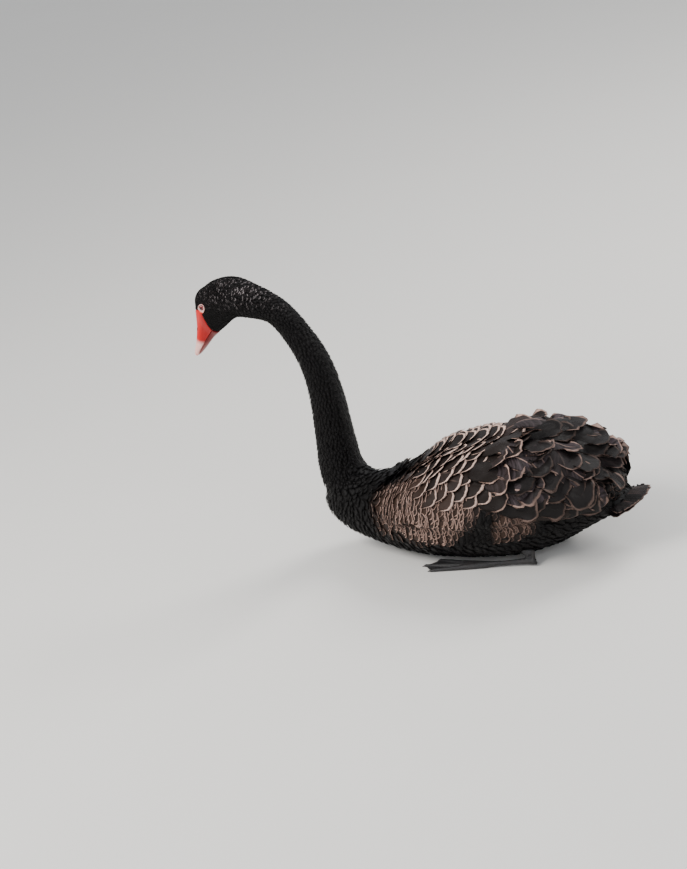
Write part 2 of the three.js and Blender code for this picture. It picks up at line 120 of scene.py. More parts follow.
def markings(place):
    """(brown, pale edge, sheen) of the plumage at a place, each from 0 to 1. The sheen is a share of painted sheen,
    and the crown's pale edge is a painted highlight. Skin and feathers both use it.

    The numbers are the regions' limits in millimetres from the origin, then each region's share of a colour."""
    x, y, z = (c / MM for c in place)
    patchy = 0.5 + 0.5 * noise.noise(Vector(place) * 24)
    slanted = x - (z - 110) + 26 * (patchy - 0.5)
    flank = smooth_step(-168, -132, x) * (1 - smooth_step(14, 54, slanted))
    flank *= soft_box(z, 70, 148, 16) * smooth_step(30, 62, abs(y))
    patch = soft_box(x - 0.6 * (z - 100), 92, 138, 18) * soft_box(z, 76, 128, 14) * smooth_step(50, 80, abs(y))
    mantle = soft_box(x, -126, 84, 22) * smooth_step(134, 158, z)
    rump = smooth_step(60, 100, x) * smooth_step(118, 150, z)
    crown = (1 - smooth_step(-330, -215, x)) * smooth_step(455, 496, z + 0.35 * max(0, x + 300))
    brown = max(flank * (0.6 + 0.5 * patchy), patch * (0.45 + 0.7 * patchy), 0.3 * mantle, 0.08 * rump)
    # The crown's pale edge is a painted highlight: glints on the small black feathers.
    edge = max(0.85 * flank, 0.7 * patch * patchy, mantle, rump * (0.25 + 0.65 * patchy), 0.55 * crown)
    # Painted sheen: a grey sheen painted into the colour of the rump, mantle and crown.
    sheen = max(rump, 0.15 * mantle, 0.2 * crown)
    return brown, edge, sheen


# Small helpers for objects

def deselect():
    """Leaves edit mode and selects nothing."""
    if bpy.context.object and bpy.context.object.mode != "OBJECT":
        bpy.ops.object.mode_set(mode="OBJECT")
    bpy.ops.object.select_all(action="DESELECT")


def pick(piece):
    """Selects one piece alone and makes it active."""
    deselect()
    piece.select_set(True)
    bpy.context.view_layer.objects.active = piece


def named(name):
    """The active object, which has just been made, under its own name."""
    piece = bpy.context.object
    piece.name = name
    piece.data.name = name
    return piece


def edit(piece, operator, **values):
    """Runs one of the mesh operators on all of a piece."""
    pick(piece)
    bpy.ops.object.mode_set(mode="EDIT")
    bpy.ops.mesh.select_all(action="SELECT")
    operator(**values)
    bpy.ops.object.mode_set(mode="OBJECT")


def apply_modifier(piece, kind, **values):
    """Adds a modifier to a piece and applies it at once."""
    pick(piece)
    bpy.ops.object.modifier_add(type=kind)
    modifier = piece.modifiers[-1]
    for key, value in values.items():
        setattr(modifier, key, value)
    bpy.ops.object.modifier_apply(modifier=modifier.name)


def remesh(piece, size):
    """Gives a piece one closed mesh with even corners."""
    apply_modifier(piece, "REMESH", mode="VOXEL", voxel_size=size)


def smooth(piece, times, group=""):
    """Smooths a piece, all over or by a vertex group's weight."""
    apply_modifier(piece, "SMOOTH", factor=0.5, iterations=times, vertex_group=group)


def swell(piece, distance, group=""):
    """Moves a piece's surface outward, all over or by a vertex group's weight."""
    apply_modifier(piece, "DISPLACE", strength=distance, mid_level=0.0, vertex_group=group)


def weigh(piece, weight_at, levels=24):
    """The name of a new vertex group, whose weight follows the place in a number of levels."""
    group = piece.vertex_groups.new(name="Weight")
    sorted_out = {}
    for vertex in piece.data.vertices:
        sorted_out.setdefault(round(levels * weight_at(vertex.co)), []).append(vertex.index)
    for level, indices in sorted_out.items():
        group.add(indices, level / levels, "REPLACE")
    return group.name


def copied(nodes, name):
    """The CAD nodes' shapes as one new mesh with merged corners."""
    deselect()
    for node in nodes:
        frame["nodes"][node].select_set(True)
    bpy.context.view_layer.objects.active = frame["nodes"][nodes[0]]
    bpy.ops.object.duplicate()
    if len(nodes) > 1:
        bpy.ops.object.join()
    piece = named(name)
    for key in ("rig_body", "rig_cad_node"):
        del piece[key]
    bpy.ops.object.parent_clear(type="CLEAR_KEEP_TRANSFORM")
    piece.data.materials.clear()
    edit(piece, bpy.ops.mesh.remove_doubles, threshold=1e-6)
    return piece


def paint(mesh, tones):
    """Stores each corner's tone: brown, pale edge, a random value and the share of painted sheen."""
    attribute = mesh.attributes.new("Tone", "FLOAT_COLOR", "POINT")
    attribute.data.foreach_set("color", [value for tone in tones for value in tone])


def finish_piece(piece, material, slot, *nodes):
    """Shades a piece, gives it its material, says what it rides on and hides the CAD nodes that it stands for."""
    piece.data.materials.clear()
    piece.data.materials.append(material)
    piece.vertex_groups.clear()
    pick(piece)
    bpy.ops.object.shade_smooth()
    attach(piece, "root")
    if nodes:
        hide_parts(*nodes)


# Places on the swan

def even_points(corners, count):
    """Evenly spaced points along a line of corners."""
    lengths = [0.0]
    for a, b in zip(corners, corners[1:]):
        lengths.append(lengths[-1] + (b - a).length)
    points = []
    for k in range(count):
        target = lengths[-1] * k / (count - 1)
        i = max(j for j in range(len(corners) - 1) if lengths[j] <= target + 1e-9)
        share = (target - lengths[i]) / (lengths[i + 1] - lengths[i])
        points.append(corners[i].lerp(corners[i + 1], min(1.0, share)))
    return points


SPINE_POINTS = even_points([Vector((x, 0, z)) * MM for x, z in SPINE], SPINE_COUNT)
SPINE_LIES = [(SPINE_POINTS[min(i + 2, SPINE_COUNT - 1)] - SPINE_POINTS[max(i - 2, 0)]).normalized()
              for i in range(SPINE_COUNT)]


def spine_at(place):
    """(share along the spine, lie, angle round the spine) of a place on the body, from the spine's points nearby."""
    weights = [1 / ((place - point).length_squared ** 2.5 + 1e-12) for point in SPINE_POINTS]
    total = sum(weights)
    lie = Vector()
    centre = Vector()
    share = 0.0
    for i, weight in enumerate(weights):
        lie += SPINE_LIES[i] * weight
        centre += SPINE_POINTS[i] * weight
        share += i * weight
    lie.normalize()
    offset = place - centre / total
    over = Vector((0, 1, 0)).cross(lie)
    return share / total / (SPINE_COUNT - 1), lie, math.atan2(offset.y, -offset.dot(over))


def in_front_of_line(place):
    """How far, in millimetres, a place lies on the bill's side of the feather line, seen from the side."""
    x, z = place.x / MM, place.z / MM
    best = math.inf
    for (ax, az), (bx, bz) in zip(FEATHER_LINE, FEATHER_LINE[1:]):
        dx, dz = bx - ax, bz - az
        t = min(1.0, max(0.0, ((x - ax) * dx + (z - az) * dz) / (dx * dx + dz * dz)))
        gap = math.hypot(x - ax - t * dx, z - az - t * dz)
        if gap < abs(best):
            side = dx * (z - az) - dz * (x - ax)
            best = gap if side < 0 else -gap
    if x < FEATHER_LINE[0][0] and z < FEATHER_LINE[0][1]:
        best = abs(best)
    return best


def near_eye(place):
    """Distance of a place from the nearer eye's centre."""
    return (Vector((place.x, abs(place.y), place.z)) - EYE).length


def open_skin(place):
    """Whether small feathers grow at a place: not on the bill's seat and not on the lids."""
    if place.x > -385 * MM:
        return True
    return in_front_of_line(place) < -0.3 and near_eye(place) > 8.0 * MM


def bill_seat(place):
    """1 where the bill sits on the head, fading out over the first feathers, round the eye and at the throat."""
    if place.x > -380 * MM:
        return 0.0
    seat = smooth_step(-7, -1, in_front_of_line(place))
    return seat * smooth_step(6 * MM, 12 * MM, near_eye(place)) * smooth_step(410 * MM, 428 * MM, place.z)


def on_flank(place):
    """Whether the barred feathers of the flank grow at a place."""
    top = 0.16 - 0.024 * smooth_step(0.05, 0.09, place.x)
    return -0.132 < place.x < 0.152 and 0.062 < place.z < top and abs(place.y) > 0.05


def nail_share(place):
    """Share along the bill, less where a place lies to the side of the tip's nail."""
    share = (place - BILL_BASE).dot(BILL_AXIS) / BILL_AXIS.length_squared
    return share - 0.5 * max(0.0, abs(place.y) / MM / 13 - 0.35) ** 2


# Feathers

class Surface:
    """A skin that feathers are laid on."""

    def __init__(self, piece):
        mesh = piece.data
        self.tree = BVHTree.FromPolygons([v.co for v in mesh.vertices], [p.vertices for p in mesh.polygons])
        self.normals = [v.normal.copy() for v in mesh.vertices]
        self.places = [v.co.copy() for v in mesh.vertices]
        self.corners = [tuple(p.vertices) for p in mesh.polygons]
        mesh.calc_loop_triangles()
        self.triangles = [tuple(t.vertices) for t in mesh.loop_triangles]

    def nearest(self, place):
        """(place on the skin, smooth normal there)"""
        spot, _, index, _ = self.tree.find_nearest(place)
        normal = Vector()
        for corner in self.corners[index]:
            normal += self.normals[corner] / ((self.places[corner] - spot).length + 1e-5)
        return spot, normal.normalized()

    def on_back(self, x, angle, sign):
        """Where a ray from inside the body, at this angle from straight up, leaves it on one side. Else None."""
        last = None
        way = Vector((0, sign * math.sin(angle), math.cos(angle)))
        spot, _, _, _ = self.tree.ray_cast(Vector((x, sign * 4, 112)) * MM, way)
        while spot:
            last = spot
            spot, _, _, _ = self.tree.ray_cast(spot + way * 1e-4, way)
        return last

    def scatter(self, allowed, spacing_at, draw, tries=5.0):
        """Random places kept at least a local spacing apart."""
        chosen, areas = [], []
        total = 0.0
        for triangle in self.triangles:
            a, b, c = (self.places[i] for i in triangle)
            middle = (a + b + c) / 3
            if allowed(middle):
                total += (b - a).cross(c - a).length / 2 / spacing_at(middle) ** 2
                areas.append(total)
                chosen.append((a, b, c))
        spots = []
        i = 0
        for value in sorted(draw.random() * total for _ in range(int(total * tries))):
            while areas[i] < value and i < len(areas) - 1:
                i += 1
            a, b, c = chosen[i]
            u, v = draw.random(), draw.random()
            if u + v > 1:
                u, v = 1 - u, 1 - v
            spots.append(a + (b - a) * u + (c - a) * v)
        draw.shuffle(spots)
        return self.thinned(spots, spacing_at, max(spacing_at(corners[0]) for corners in chosen[::50]))

    def thinned(self, spots, spacing_at, cell_size):
        """The spots that keep their spacing from those before them, looked up by cells of the widest spacing."""
        cells, kept = {}, []
        for spot in spots:
            spacing = spacing_at(spot)
            cell = [math.floor(c / cell_size) for c in spot]
            near = (other for step in product((-1, 0, 1), repeat=3)
                    for other in cells.get(tuple(c + s for c, s in zip(cell, step)), ()))
            if all((other - spot).length_squared > spacing ** 2 for other in near):
                cells.setdefault(tuple(cell), []).append(spot)
                kept.append(spot)
        return kept


class Coat:
    """Collects feathers and turns them into one mesh of closed vanes."""

    def __init__(self, surface, grid, patch, draw):
        """Grid gives each vane's rows and columns, and patch its width on the bake map."""
        self.surface = surface
        self.rows, self.columns = grid
        self.patch = patch
        self.draw = draw
        self.points, self.tones, self.bake = [], [], []
        self.template()

    def template(self):
        """Corner numbers of one vane: its upper face, then the inner corners of its lower face."""
        wide = self.columns + 1
        upper = [[r * wide + c for c in range(wide)] for r in range(self.rows + 1)]
        lower = [line[:] for line in upper]
        self.inner = [(r, c) for r in range(1, self.rows) for c in range(1, self.columns)]
        self.size = wide * (self.rows + 1)
        for r, c in self.inner:
            lower[r][c] = self.size
            self.size += 1
        self.faces, self.flat = [], []
        for r, c in product(range(self.rows), range(self.columns)):
            around = [(r, c), (r, c + 1), (r + 1, c + 1), (r + 1, c)]
            self.faces.append([upper[i][j] for i, j in around])
            self.flat += around
            if any(lower[i][j] != upper[i][j] for i, j in around):
                around.reverse()
                self.faces.append([lower[i][j] for i, j in around])
                self.flat += around

    def walk(self, root, lie, step, turn, bend):
        """(place, way aside) at each row: a walk along the skin that starts turned aside and bends on its way."""
        spot, normal = self.surface.nearest(root)
        way = (lie - normal * lie.dot(normal)).normalized()
        way = (way + normal.cross(way) * turn).normalized()
        line = [(spot, normal.cross(way))]
        for _ in range(self.rows):
            way = (way + normal.cross(way) * bend).normalized()
            spot, normal = self.surface.nearest(spot + way * step)
            way = (way - normal * way.dot(normal)).normalized()
            line.append((spot, normal.cross(way)))
        return line

    def add(self, root, lie, tone=None, *, length, width, high, thickness=0.7, low=-1.5, rise=1.0, arch=0.0,
            flick=0.0, crown=0.12, tilt=0.0, ruffle=0.0, waves=11, turn=0.0, curl=0.0, tip=0.9, narrow=0.4, taper=0.1,
            ragged=0.05, glints=1.0):
        """One feather. Root is a place on the skin, and lie the way it points. Its sizes are in millimetres: length,
        width, thickness, low and high (height at root and tip), arch, flick (rise of the very tip) and ruffle (waves
        in the raised margin). The others are shares: rise (power of the way up), crown (fall of the margins), tilt
        (rise of one margin, so that neighbours overlap), turn and curl (sideways turn and bend), tip (0 square to 1
        round), narrow (width at the root), taper, ragged and glints (share of the feathers that keep their pale edge;
        on the small feathers of head and neck these pale edges are painted highlights)."""
        length, width, thickness, low, high, arch, flick, ruffle = (
            size * MM for size in (length, width, thickness, low, high, arch, flick, ruffle))
        step = length / self.rows
        centres = self.walk(root, lie, step, turn, curl / self.rows)
        spine_share, _, angle = spine_at(centres[0][0])
        brown, edge, sheen = tone or markings(root)
        draw = self.draw
        if draw.random() > glints:
            edge = 0.0
        chance = draw.random()
        uneven = [1 + ragged * (draw.random() - 0.5) for _ in range(2 * self.rows + 2)]
        frayed = [ragged * (draw.random() - 0.5) for _ in range(self.columns + 1)]
        phase = draw.random() * 6.3
        grid = []
        for r in range(self.rows + 1):
            share = r / self.rows
            half = width / 2 * (narrow + (1 - narrow) * math.sin(math.pi / 2 * min(1.0, share / 0.55)))
            half *= 1 - taper * smooth_step(0.6, 1.0, share)
            middle = low + (high - low) * share ** rise + arch * math.sin(math.pi * share ** 0.9)
            middle += flick * smooth_step(0.55, 1.0, share) ** 2
            spread = smooth_step(0.0, 0.4, share)
            wave = ruffle * (0.5 + 0.5 * math.sin(phase + waves * share)) * smooth_step(0.3, 0.8, share)
            line = []
            for c in range(self.columns + 1):
                across = 2 * c / self.columns - 1
                back = tip * half * share ** 2.2 * (1 - math.sqrt(max(0.0, 1 - 0.985 * across * across)))
                back -= frayed[c] * length * share ** 3
                reach = max(0.0, share * self.rows - back / step)
                i = min(int(reach), self.rows - 1)
                spot, side = (a.lerp(b, reach - i) for a, b in zip(centres[i], centres[i + 1]))
                offset = across * half * (uneven[2 * r + (across > 0)] if abs(across) == 1 else 1)
                free = smooth_step(0.2, 1.0, across if tilt > 0 else -across) + 0.5 * smooth_step(0.7, 1.0, share)
                height = middle + (tilt * offset - crown * half * across * across) * spread + wave * free
                place, normal = self.surface.nearest(spot + side * offset)
                line.append((place + normal * height, normal))
            grid.append(line)
        place_on_map = (spine_share, angle / (2 * math.pi) + 0.5)
        self.keep(grid, thickness, 0.7, (brown, edge, chance, sheen), place_on_map)

    def keep(self, grid, thickness, thinning, tone, place_on_map):
        """Adds a vane from its grid of (place, normal). It thins toward its tip."""
        self.points += [place for line in grid for place, _ in line]
        for r, c in self.inner:
            place, normal = grid[r][c]
            self.points.append(place - normal * thickness * (1 - thinning * r / self.rows))
        self.tones += [tone] * self.size
        self.bake.append(place_on_map)

    def build(self, name, material, slot, *nodes):
        """The mesh of all feathers, with the vane map, the bake map and the tones."""
        count = len(self.bake)
        faces = [[k * self.size + i for i in face] for k in range(count) for face in self.faces]
        mesh = bpy.data.meshes.new(name)
        mesh.from_pydata([(p.x, p.y, max(p.z, FEATHER_FLOOR)) for p in self.points], [], faces)
        local = [(c / self.columns, r / self.rows) for r, c in self.flat]
        vane = mesh.uv_layers.new(name="Vane")
        vane.data.foreach_set("uv", [value for pair in local for value in pair] * count)
        shares = [share for share, _ in self.bake]
        low, high = min(shares), max(shares)
        margin = 0.01
        room = (1 - 2 * margin) * (1 - self.patch)
        values = []
        for share, angle in self.bake:
            u = margin + room * (share - low) / (high - low)
            v = margin + room * angle
            for a, b in local:
                values += (u + a * self.patch, v + b * self.patch)
        baked = mesh.uv_layers.new(name="OFBake")
        baked.data.foreach_set("uv", values)
        mesh.uv_layers.active = vane
        paint(mesh, self.tones)
        mesh.update()
        piece = bpy.data.objects.new(name, mesh)
        bpy.context.scene.collection.objects.link(piece)
        finish_piece(piece, bpy.data.materials[material], slot, *nodes)


def cover(name, allowed, spacing_at, shape_at, seed, grid, material):
    """Covers a region of the skin with small feathers."""
    draw = random.Random(seed)
    surface = surface_of_skin()
    coat = Coat(surface, grid, 0.003, draw)
    for root in surface.scatter(allowed, spacing_at, draw):
        share, lie, _ = spine_at(root)
        lie = (lie + Vector([draw.gauss(0, 0.07) for _ in range(3)])).normalized()
        coat.add(root, lie, **shape_at(root, share, draw))
    coat.build(name, material, "plumage")


def lay_both(name, lay, seed, grid, patch, material, slot, node=None):
    """Makes one coat on each side: lay(coat, sign) adds its feathers. Node is the CAD node that it stands for."""
    for side, sign in SIDES.items():
        coat = Coat(surface_of_skin(), grid, patch, random.Random(seed + sign))
        lay(coat, sign)
        coat.build(f"{name}_{side}", material, slot, *([f"{node}_{side}"] if node else []))


def rows_on_back(coat, sign, rows, columns, first, step, spread):
    """(x, angle, root) in rows round one side of the body, every other row half a step further round.

    Rows holds (number, x in millimetres), first and step are angles from straight up, and spread holds how much
    angle and x vary."""
    for number, x in rows:
        for column in range(columns):
            angle = first + (column + 0.5 * (number % 2)) * step + coat.draw.gauss(0, spread[0])
            root = coat.surface.on_back(x + coat.draw.gauss(0, spread[1]), angle, sign)
            if root:
                yield x, angle, root


def surface_of_skin():
    """The skin's surface, which is worked out once."""
    if "skin" not in SURFACES:
        SURFACES["skin"] = Surface(bpy.data.objects["skin"])
    return SURFACES["skin"]


SURFACES = {}


# Shader node groups and materials

class Wiring:
    """Short ways to add and link nodes in a tree."""

    def __init__(self, tree):
        self.tree = tree

    def node(self, kind, **settings):
        """A new node of a kind, with its settings."""
        node = self.tree.nodes.new(f"ShaderNode{kind}")
        for key, value in settings.items():
            setattr(node, key, value)
        return node

    def put(self, target, value):
        """Links an input to a socket or gives it a value. None leaves it as it is."""
        if isinstance(value, bpy.types.NodeSocket):
            self.tree.links.new(value, target)
        elif value is not None:
            target.default_value = value

    def fill(self, node, **values):
        """Fills a node's inputs by their labels, and returns its outputs."""
        for label, value in values.items():
            self.put(node.inputs[label.replace("_", " ")], value)
        return node.outputs

    def fill_in_order(self, node, values):
        """Fills a node's first inputs, and returns its outputs."""
        for socket, value in zip(node.inputs, values):
            self.put(socket, value)
        return node.outputs

    def math(self, operation, *values):
        return self.fill_in_order(self.node("Math", operation=operation), values)[0]

    def times(self, first, *others):
        """The product of two or more values."""
        for other in others:
            first = self.math("MULTIPLY", first, other)
        return first

    def vector(self, operation, a, b=None):
        """A vector sum, or the number that a distance or a dot product gives."""
        outputs = self.fill_in_order(self.node("VectorMath", operation=operation), (a, b))
        return outputs["Value" if operation in ("DISTANCE", "DOT_PRODUCT") else "Vector"]

    def ramp(self, value, low, high, start=0.0, end=1.0):
        """A soft step from start to end, as value goes from low to high."""
        node = self.node("MapRange", interpolation_type="SMOOTHSTEP")
        return self.fill_in_order(node, (value, low, high, start, end))["Result"]

    def mix(self, share, a, b):
        """Colour a, and b by its share."""
        node = self.node("Mix", data_type="RGBA")
        for index, value in ((0, share), (6, a), (7, b)):
            self.put(node.inputs[index], value)
        return node.outputs[2]

    def noise(self, vector, scale, detail=3.0):
        return self.fill(self.node("TexNoise"), Vector=vector, Scale=scale, Detail=detail, Roughness=0.55)["Fac"]

    def split(self, vector):
        return self.fill_in_order(self.node("SeparateXYZ"), [vector])

    def object_place(self):
        return self.node("TexCoord").outputs["Object"]

    def use(self, group, **values):
        """A node group of this name, with its inputs filled."""
        return self.fill(self.node("Group", node_tree=bpy.data.node_groups[group]), **values)

    def bump(self, height, distance, strength=1.0):
        return self.fill(self.node("Bump"), Height=height, Distance=distance, Strength=strength)["Normal"]


class Paint(Wiring):
    """A new material, with constants set on its shader."""

    def __init__(self, name, **constants):
        self.material = bpy.data.materials.new(name)
        self.material.use_nodes = True
        super().__init__(self.material.node_tree)
        self.shader = self.tree.nodes["Principled BSDF"]
        self.fill(self.shader, **constants)

    def finished(self, color, roughness, normal=None):
        """The material, with its colour, roughness and bumps."""
        self.fill(self.shader, Base_Color=color, Roughness=roughness, Normal=normal)
        return self.material


def linear(color):
    """A colour picked as seen on a screen, as the renderer's linear values."""
    return [c / 12.92 if c <= 0.04045 else ((c + 0.055) / 1.055) ** 2.4 for c in color] + [1.0]


def new_group(name, inputs, outputs):
    """A node group's wiring, its inputs as sockets to read, and its end. Inputs have defaults: a list is a colour."""
    group = bpy.data.node_groups.new(name, "ShaderNodeTree")
    for label, default in inputs.items():
        kind = "NodeSocketColor" if isinstance(default, list) else "NodeSocketFloat"
        group.interface.new_socket(label, in_out="INPUT", socket_type=kind).default_value = default
    for label in outputs:
        kind = "NodeSocketColor" if label == "Color" else "NodeSocketFloat"
        group.interface.new_socket(label, in_out="OUTPUT", socket_type=kind)
    start = group.nodes.new("NodeGroupInput")
    return Wiring(group), start.outputs, group.nodes.new("NodeGroupOutput")


def vane_pattern():
    """Pale edge, shaft and barbs of a feather, from its own map: across from side to side, along from the root."""
    w, given, end = new_group("Vane_pattern", {"Edge width": 0.2, "Side edge": 1.0, "Barbs": 26.0},
                              ("Edge", "Shaft", "Height", "Streak"))
    place = w.node("UVMap", uv_map="Vane").outputs[0]
    across, along, _ = w.split(place)
    aside = w.math("ABSOLUTE", w.math("MULTIPLY_ADD", across, 2.0, -1.0))
    side_reach = w.times(aside, given["Side edge"], w.ramp(along, 0.25, 0.7, 0.6, 1.0))
    squareness = 7.0
    reach = w.math("ADD", w.math("POWER", side_reach, squareness), w.math("POWER", along, squareness))
    reach = w.math("POWER", reach, 1 / squareness)
    broken = w.math("ADD", reach, w.math("MULTIPLY_ADD", w.noise(place, 9.0, 4.0), 0.07, -0.035))
    inner = w.math("SUBTRACT", 1.0, given["Edge width"])
    edge = w.ramp(broken, inner, w.math("ADD", inner, 0.045))
    shaft = w.times(w.ramp(aside, 0.03, 0.07, 1.0, 0.0), w.ramp(along, 0.7, 0.95, 1.0, 0.0))
    slope = w.math("MULTIPLY_ADD", aside, -0.35, along)
    barb = w.math("SINE", w.times(slope, given["Barbs"], math.tau))
    stretched = w.fill_in_order(w.node("CombineXYZ"), (w.times(slope, 16.0), w.times(across, 1.6)))[0]
    streak = w.noise(stretched, 1.0)
    height = w.math("MULTIPLY_ADD", streak, 0.8, w.math("ADD", w.times(barb, 0.3), w.times(shaft, 1.2)))
    w.fill(end, Edge=edge, Shaft=shaft, Height=height, Streak=streak)


def plumage_colour(values):
    """The plumage's colour and roughness, from the corners' tones and from where a place lies on its feather.

    The sheen share paints a grey sheen into the colour of glossy feathers, and pale shafts that are partly painted
    highlights.
    """
    w, given, end = new_group("Plumage_colour", {"Edge": 0.0, "Shaft": 0.0, "Edge colour": linear(values.edge),
                                                 "Streak": 0.5}, ("Color", "Roughness"))
    tone = w.node("Attribute", attribute_name="Tone").outputs
    brown, pale, chance = w.fill_in_order(w.node("SeparateColor"), [tone["Color"]])
    sheen, streak = tone["Alpha"], given["Streak"]
    body = w.mix(w.times(brown, w.ramp(chance, 0.0, 1.0, 0.55, 1.25)), linear(values.black), linear(values.brown))
    # Painted sheen: the sheen colour is mixed into the colour of glossy feathers, by their sheen share and streaks.
    painted_sheen = w.times(sheen, w.ramp(chance, 0.5, 0.95, 0.02, 0.75))
    body = w.mix(w.times(w.ramp(streak, 0.3, 0.75), painted_sheen), body, linear(values.sheen))
    # Pale shafts, only on feathers with painted sheen: partly the shafts' own pale colour, partly painted highlights.
    pale_shaft_and_glint = w.times(given["Shaft"], sheen, w.ramp(chance, 0.6, 0.9, 0.0, 0.6))
    body = w.mix(pale_shaft_and_glint, body, linear(values.edge))
    weakest = w.math("MULTIPLY_ADD", sheen, -0.85, 1.0)
    strength = w.times(pale, w.ramp(chance, 0.25, 0.9, weakest, 1.0))
    share = w.times(given["Edge"], strength, w.ramp(streak, 0.2, 0.5, 0.7, 1.0))
    w.fill(end, Color=w.mix(share, body, given["Edge colour"]), Roughness=w.ramp(streak, 0.2, 0.8, 0.42, 0.62))


def feather_material(name, edge_width, barbs, depth, edge_colour, side_edge=1.0):
    """Feathers with pale edges, a shaft and fine barbs."""
    w = Paint(name, Sheen_Weight=0.02, Sheen_Roughness=0.5, Specular_IOR_Level=0.15,
              Sheen_Tint=linear(bpy.context.scene.swan_plumage.sheen))
    vane = w.use("Vane_pattern", Edge_width=edge_width, Side_edge=side_edge, Barbs=barbs)
    plumage = w.use("Plumage_colour", Edge=vane["Edge"], Shaft=vane["Shaft"], Streak=vane["Streak"],
                    Edge_colour=linear(edge_colour))
    w.finished(plumage["Color"], plumage["Roughness"], w.bump(vane["Height"], depth))


def down_material():
    """The dark down of the skin under the feathers, with the same markings."""
    w = Paint("Down", Sheen_Weight=0.02, Sheen_Roughness=0.5, Specular_IOR_Level=0.15)
    fuzz = w.noise(w.object_place(), 900.0, 4.0)
    plumage = w.use("Plumage_colour", Edge=0.0, Streak=fuzz)
    return w.finished(plumage["Color"], w.ramp(fuzz, 0.3, 0.7, 0.7, 0.9), w.bump(fuzz, 0.6 * MM))


def horn_material(name, lower):
    """Bare horn: a red side, painted shade over the lower bill and toward the gape, a salmon ridge that is a painted
    highlight on the bill's top, a pale tip, random darker mottle and nostrils painted near-black as shade in their
    openings.
    """
    values = bpy.context.scene.swan_head
    shade_and_mottle_red = linear(values.shade_and_mottle_red)
    w = Paint(name, Specular_IOR_Level=0.22, Coat_Weight=0.06, Coat_Roughness=0.3)
    place = w.object_place()
    _, y, _ = w.split(place)
    reach = w.vector("SUBTRACT", place, BILL_BASE)
    share = w.math("DIVIDE", w.vector("DOT_PRODUCT", reach, BILL_WAY), BILL_AXIS.length)
    over = w.vector("DOT_PRODUCT", reach, BILL_FRONT)
    mottle = w.noise(place, 160.0, 4.0)
    # Painted highlight: the bill's top ridge painted salmon, lighter than the red sides, as where light falls.
    ridge = w.times(w.ramp(w.math("ABSOLUTE", y), 3 * MM, 9 * MM, 1.0, 0.0), w.ramp(mottle, 0.25, 0.75, 0.75, 1.0))
    color = w.mix(ridge, linear(values.red), linear(values.salmon))
    # Painted shade: the lower bill painted much darker red.
    if lower:
        color = w.mix(0.88, color, shade_and_mottle_red)
    # Painted shade: darker red toward the gape, along the bill's lower rear border.
    color = w.mix(w.ramp(over, -14 * MM, -3 * MM, 0.55, 0.0), color, shade_and_mottle_red)
    wobble = w.math("MULTIPLY_ADD", mottle, 0.06, share)
    band = w.times(w.ramp(wobble, 0.61, 0.75), w.ramp(wobble, 0.97, 1.03, 1.0, 0.0), 0.08 if lower else 0.9)
    color = w.mix(band, color, linear(values.band))
    # Random darker mottle, the horn's own uneven colour.
    color = w.mix(w.ramp(mottle, 0.55, 0.8, 0.0, 0.25), color, shade_and_mottle_red)
    # Painted shade: near-black spots where the nostrils' openings are, which the bill's mesh does not have.
    if not lower:
        nearer_nostril = [abs(c) for c in NOSTRIL]
        far = w.vector("DISTANCE", w.vector("ABSOLUTE", place), nearer_nostril)
        color = w.mix(w.ramp(far, 2.2 * MM, 3.6 * MM, 0.85, 0.0), color, (0.03, 0.006, 0.005, 1))
    grain = w.math("ADD", w.times(mottle, 0.6), w.noise(place, 900.0))
    return w.finished(color, w.ramp(mottle, 0.2, 0.8, 0.28, 0.46), w.bump(grain, 0.12 * MM, 0.7))


def eye_material(values):
    """A red iris with fine fibres round a black pupil, seen from the side."""
    w = Paint("Eye", Specular_IOR_Level=0.55)
    place = w.object_place()
    far = w.vector("DISTANCE", w.vector("MULTIPLY", place, (1, 0, 1)), (EYE.x, 0, EYE.z))
    fibres = w.noise(place, 2400.0, 4.0)
    color = w.mix(fibres, linear(values.iris), linear([0.4 * c for c in values.iris]))
    color = w.mix(w.ramp(far, 1.9 * MM, 2.2 * MM, 1.0, 0.0), color, (0.002, 0.002, 0.002, 1))
    color = w.mix(w.ramp(far, 4.4 * MM, 5.2 * MM), color, (0.02, 0.008, 0.006, 1))
    return w.finished(color, w.ramp(fibres, 0.2, 0.8, 0.05, 0.09))


def lid_material(values):
    """Pale bare skin of the lids, which turns to the bill's salmon on the lore."""
    w = Paint("Lid", Subsurface_Weight=0.05, Subsurface_Scale=1 * MM)
    place = w.object_place()
    spots = w.noise(place, 700.0, 4.0)
    color = w.mix(w.ramp(spots, 0.35, 0.7), linear(values.lid), linear(values.lid_spots))
    toward_bill = w.vector("DOT_PRODUCT", w.vector("SUBTRACT", place, EYE), LORE_WAY)
    color = w.mix(w.ramp(toward_bill, 6.5 * MM, 9.5 * MM), color, linear(values.salmon))
    return w.finished(color, w.ramp(spots, 0.2, 0.8, 0.4, 0.6), w.bump(spots, 0.2 * MM))


def scale_material(values):
    """Dark scaled skin of legs and feet."""
    w = Paint("Leg_skin", Specular_IOR_Level=0.4)
    cells = w.node("TexVoronoi", feature="DISTANCE_TO_EDGE")
    plates = w.ramp(w.fill(cells, Vector=w.object_place(), Scale=330.0)["Distance"], 0.02, 0.2)
    mottle = w.noise(w.object_place(), 60.0, 4.0)
    skin = linear(values.leg)
    color = w.mix(plates, [0.35 * c for c in skin[:3]] + [1], skin)
    color = w.mix(w.ramp(mottle, 0.4, 0.8, 0.0, 0.4), color, linear(values.leg_mottle))
    return w.finished(color, w.ramp(mottle, 0.2, 0.8, 0.45, 0.65), w.bump(plates, 0.35 * MM))


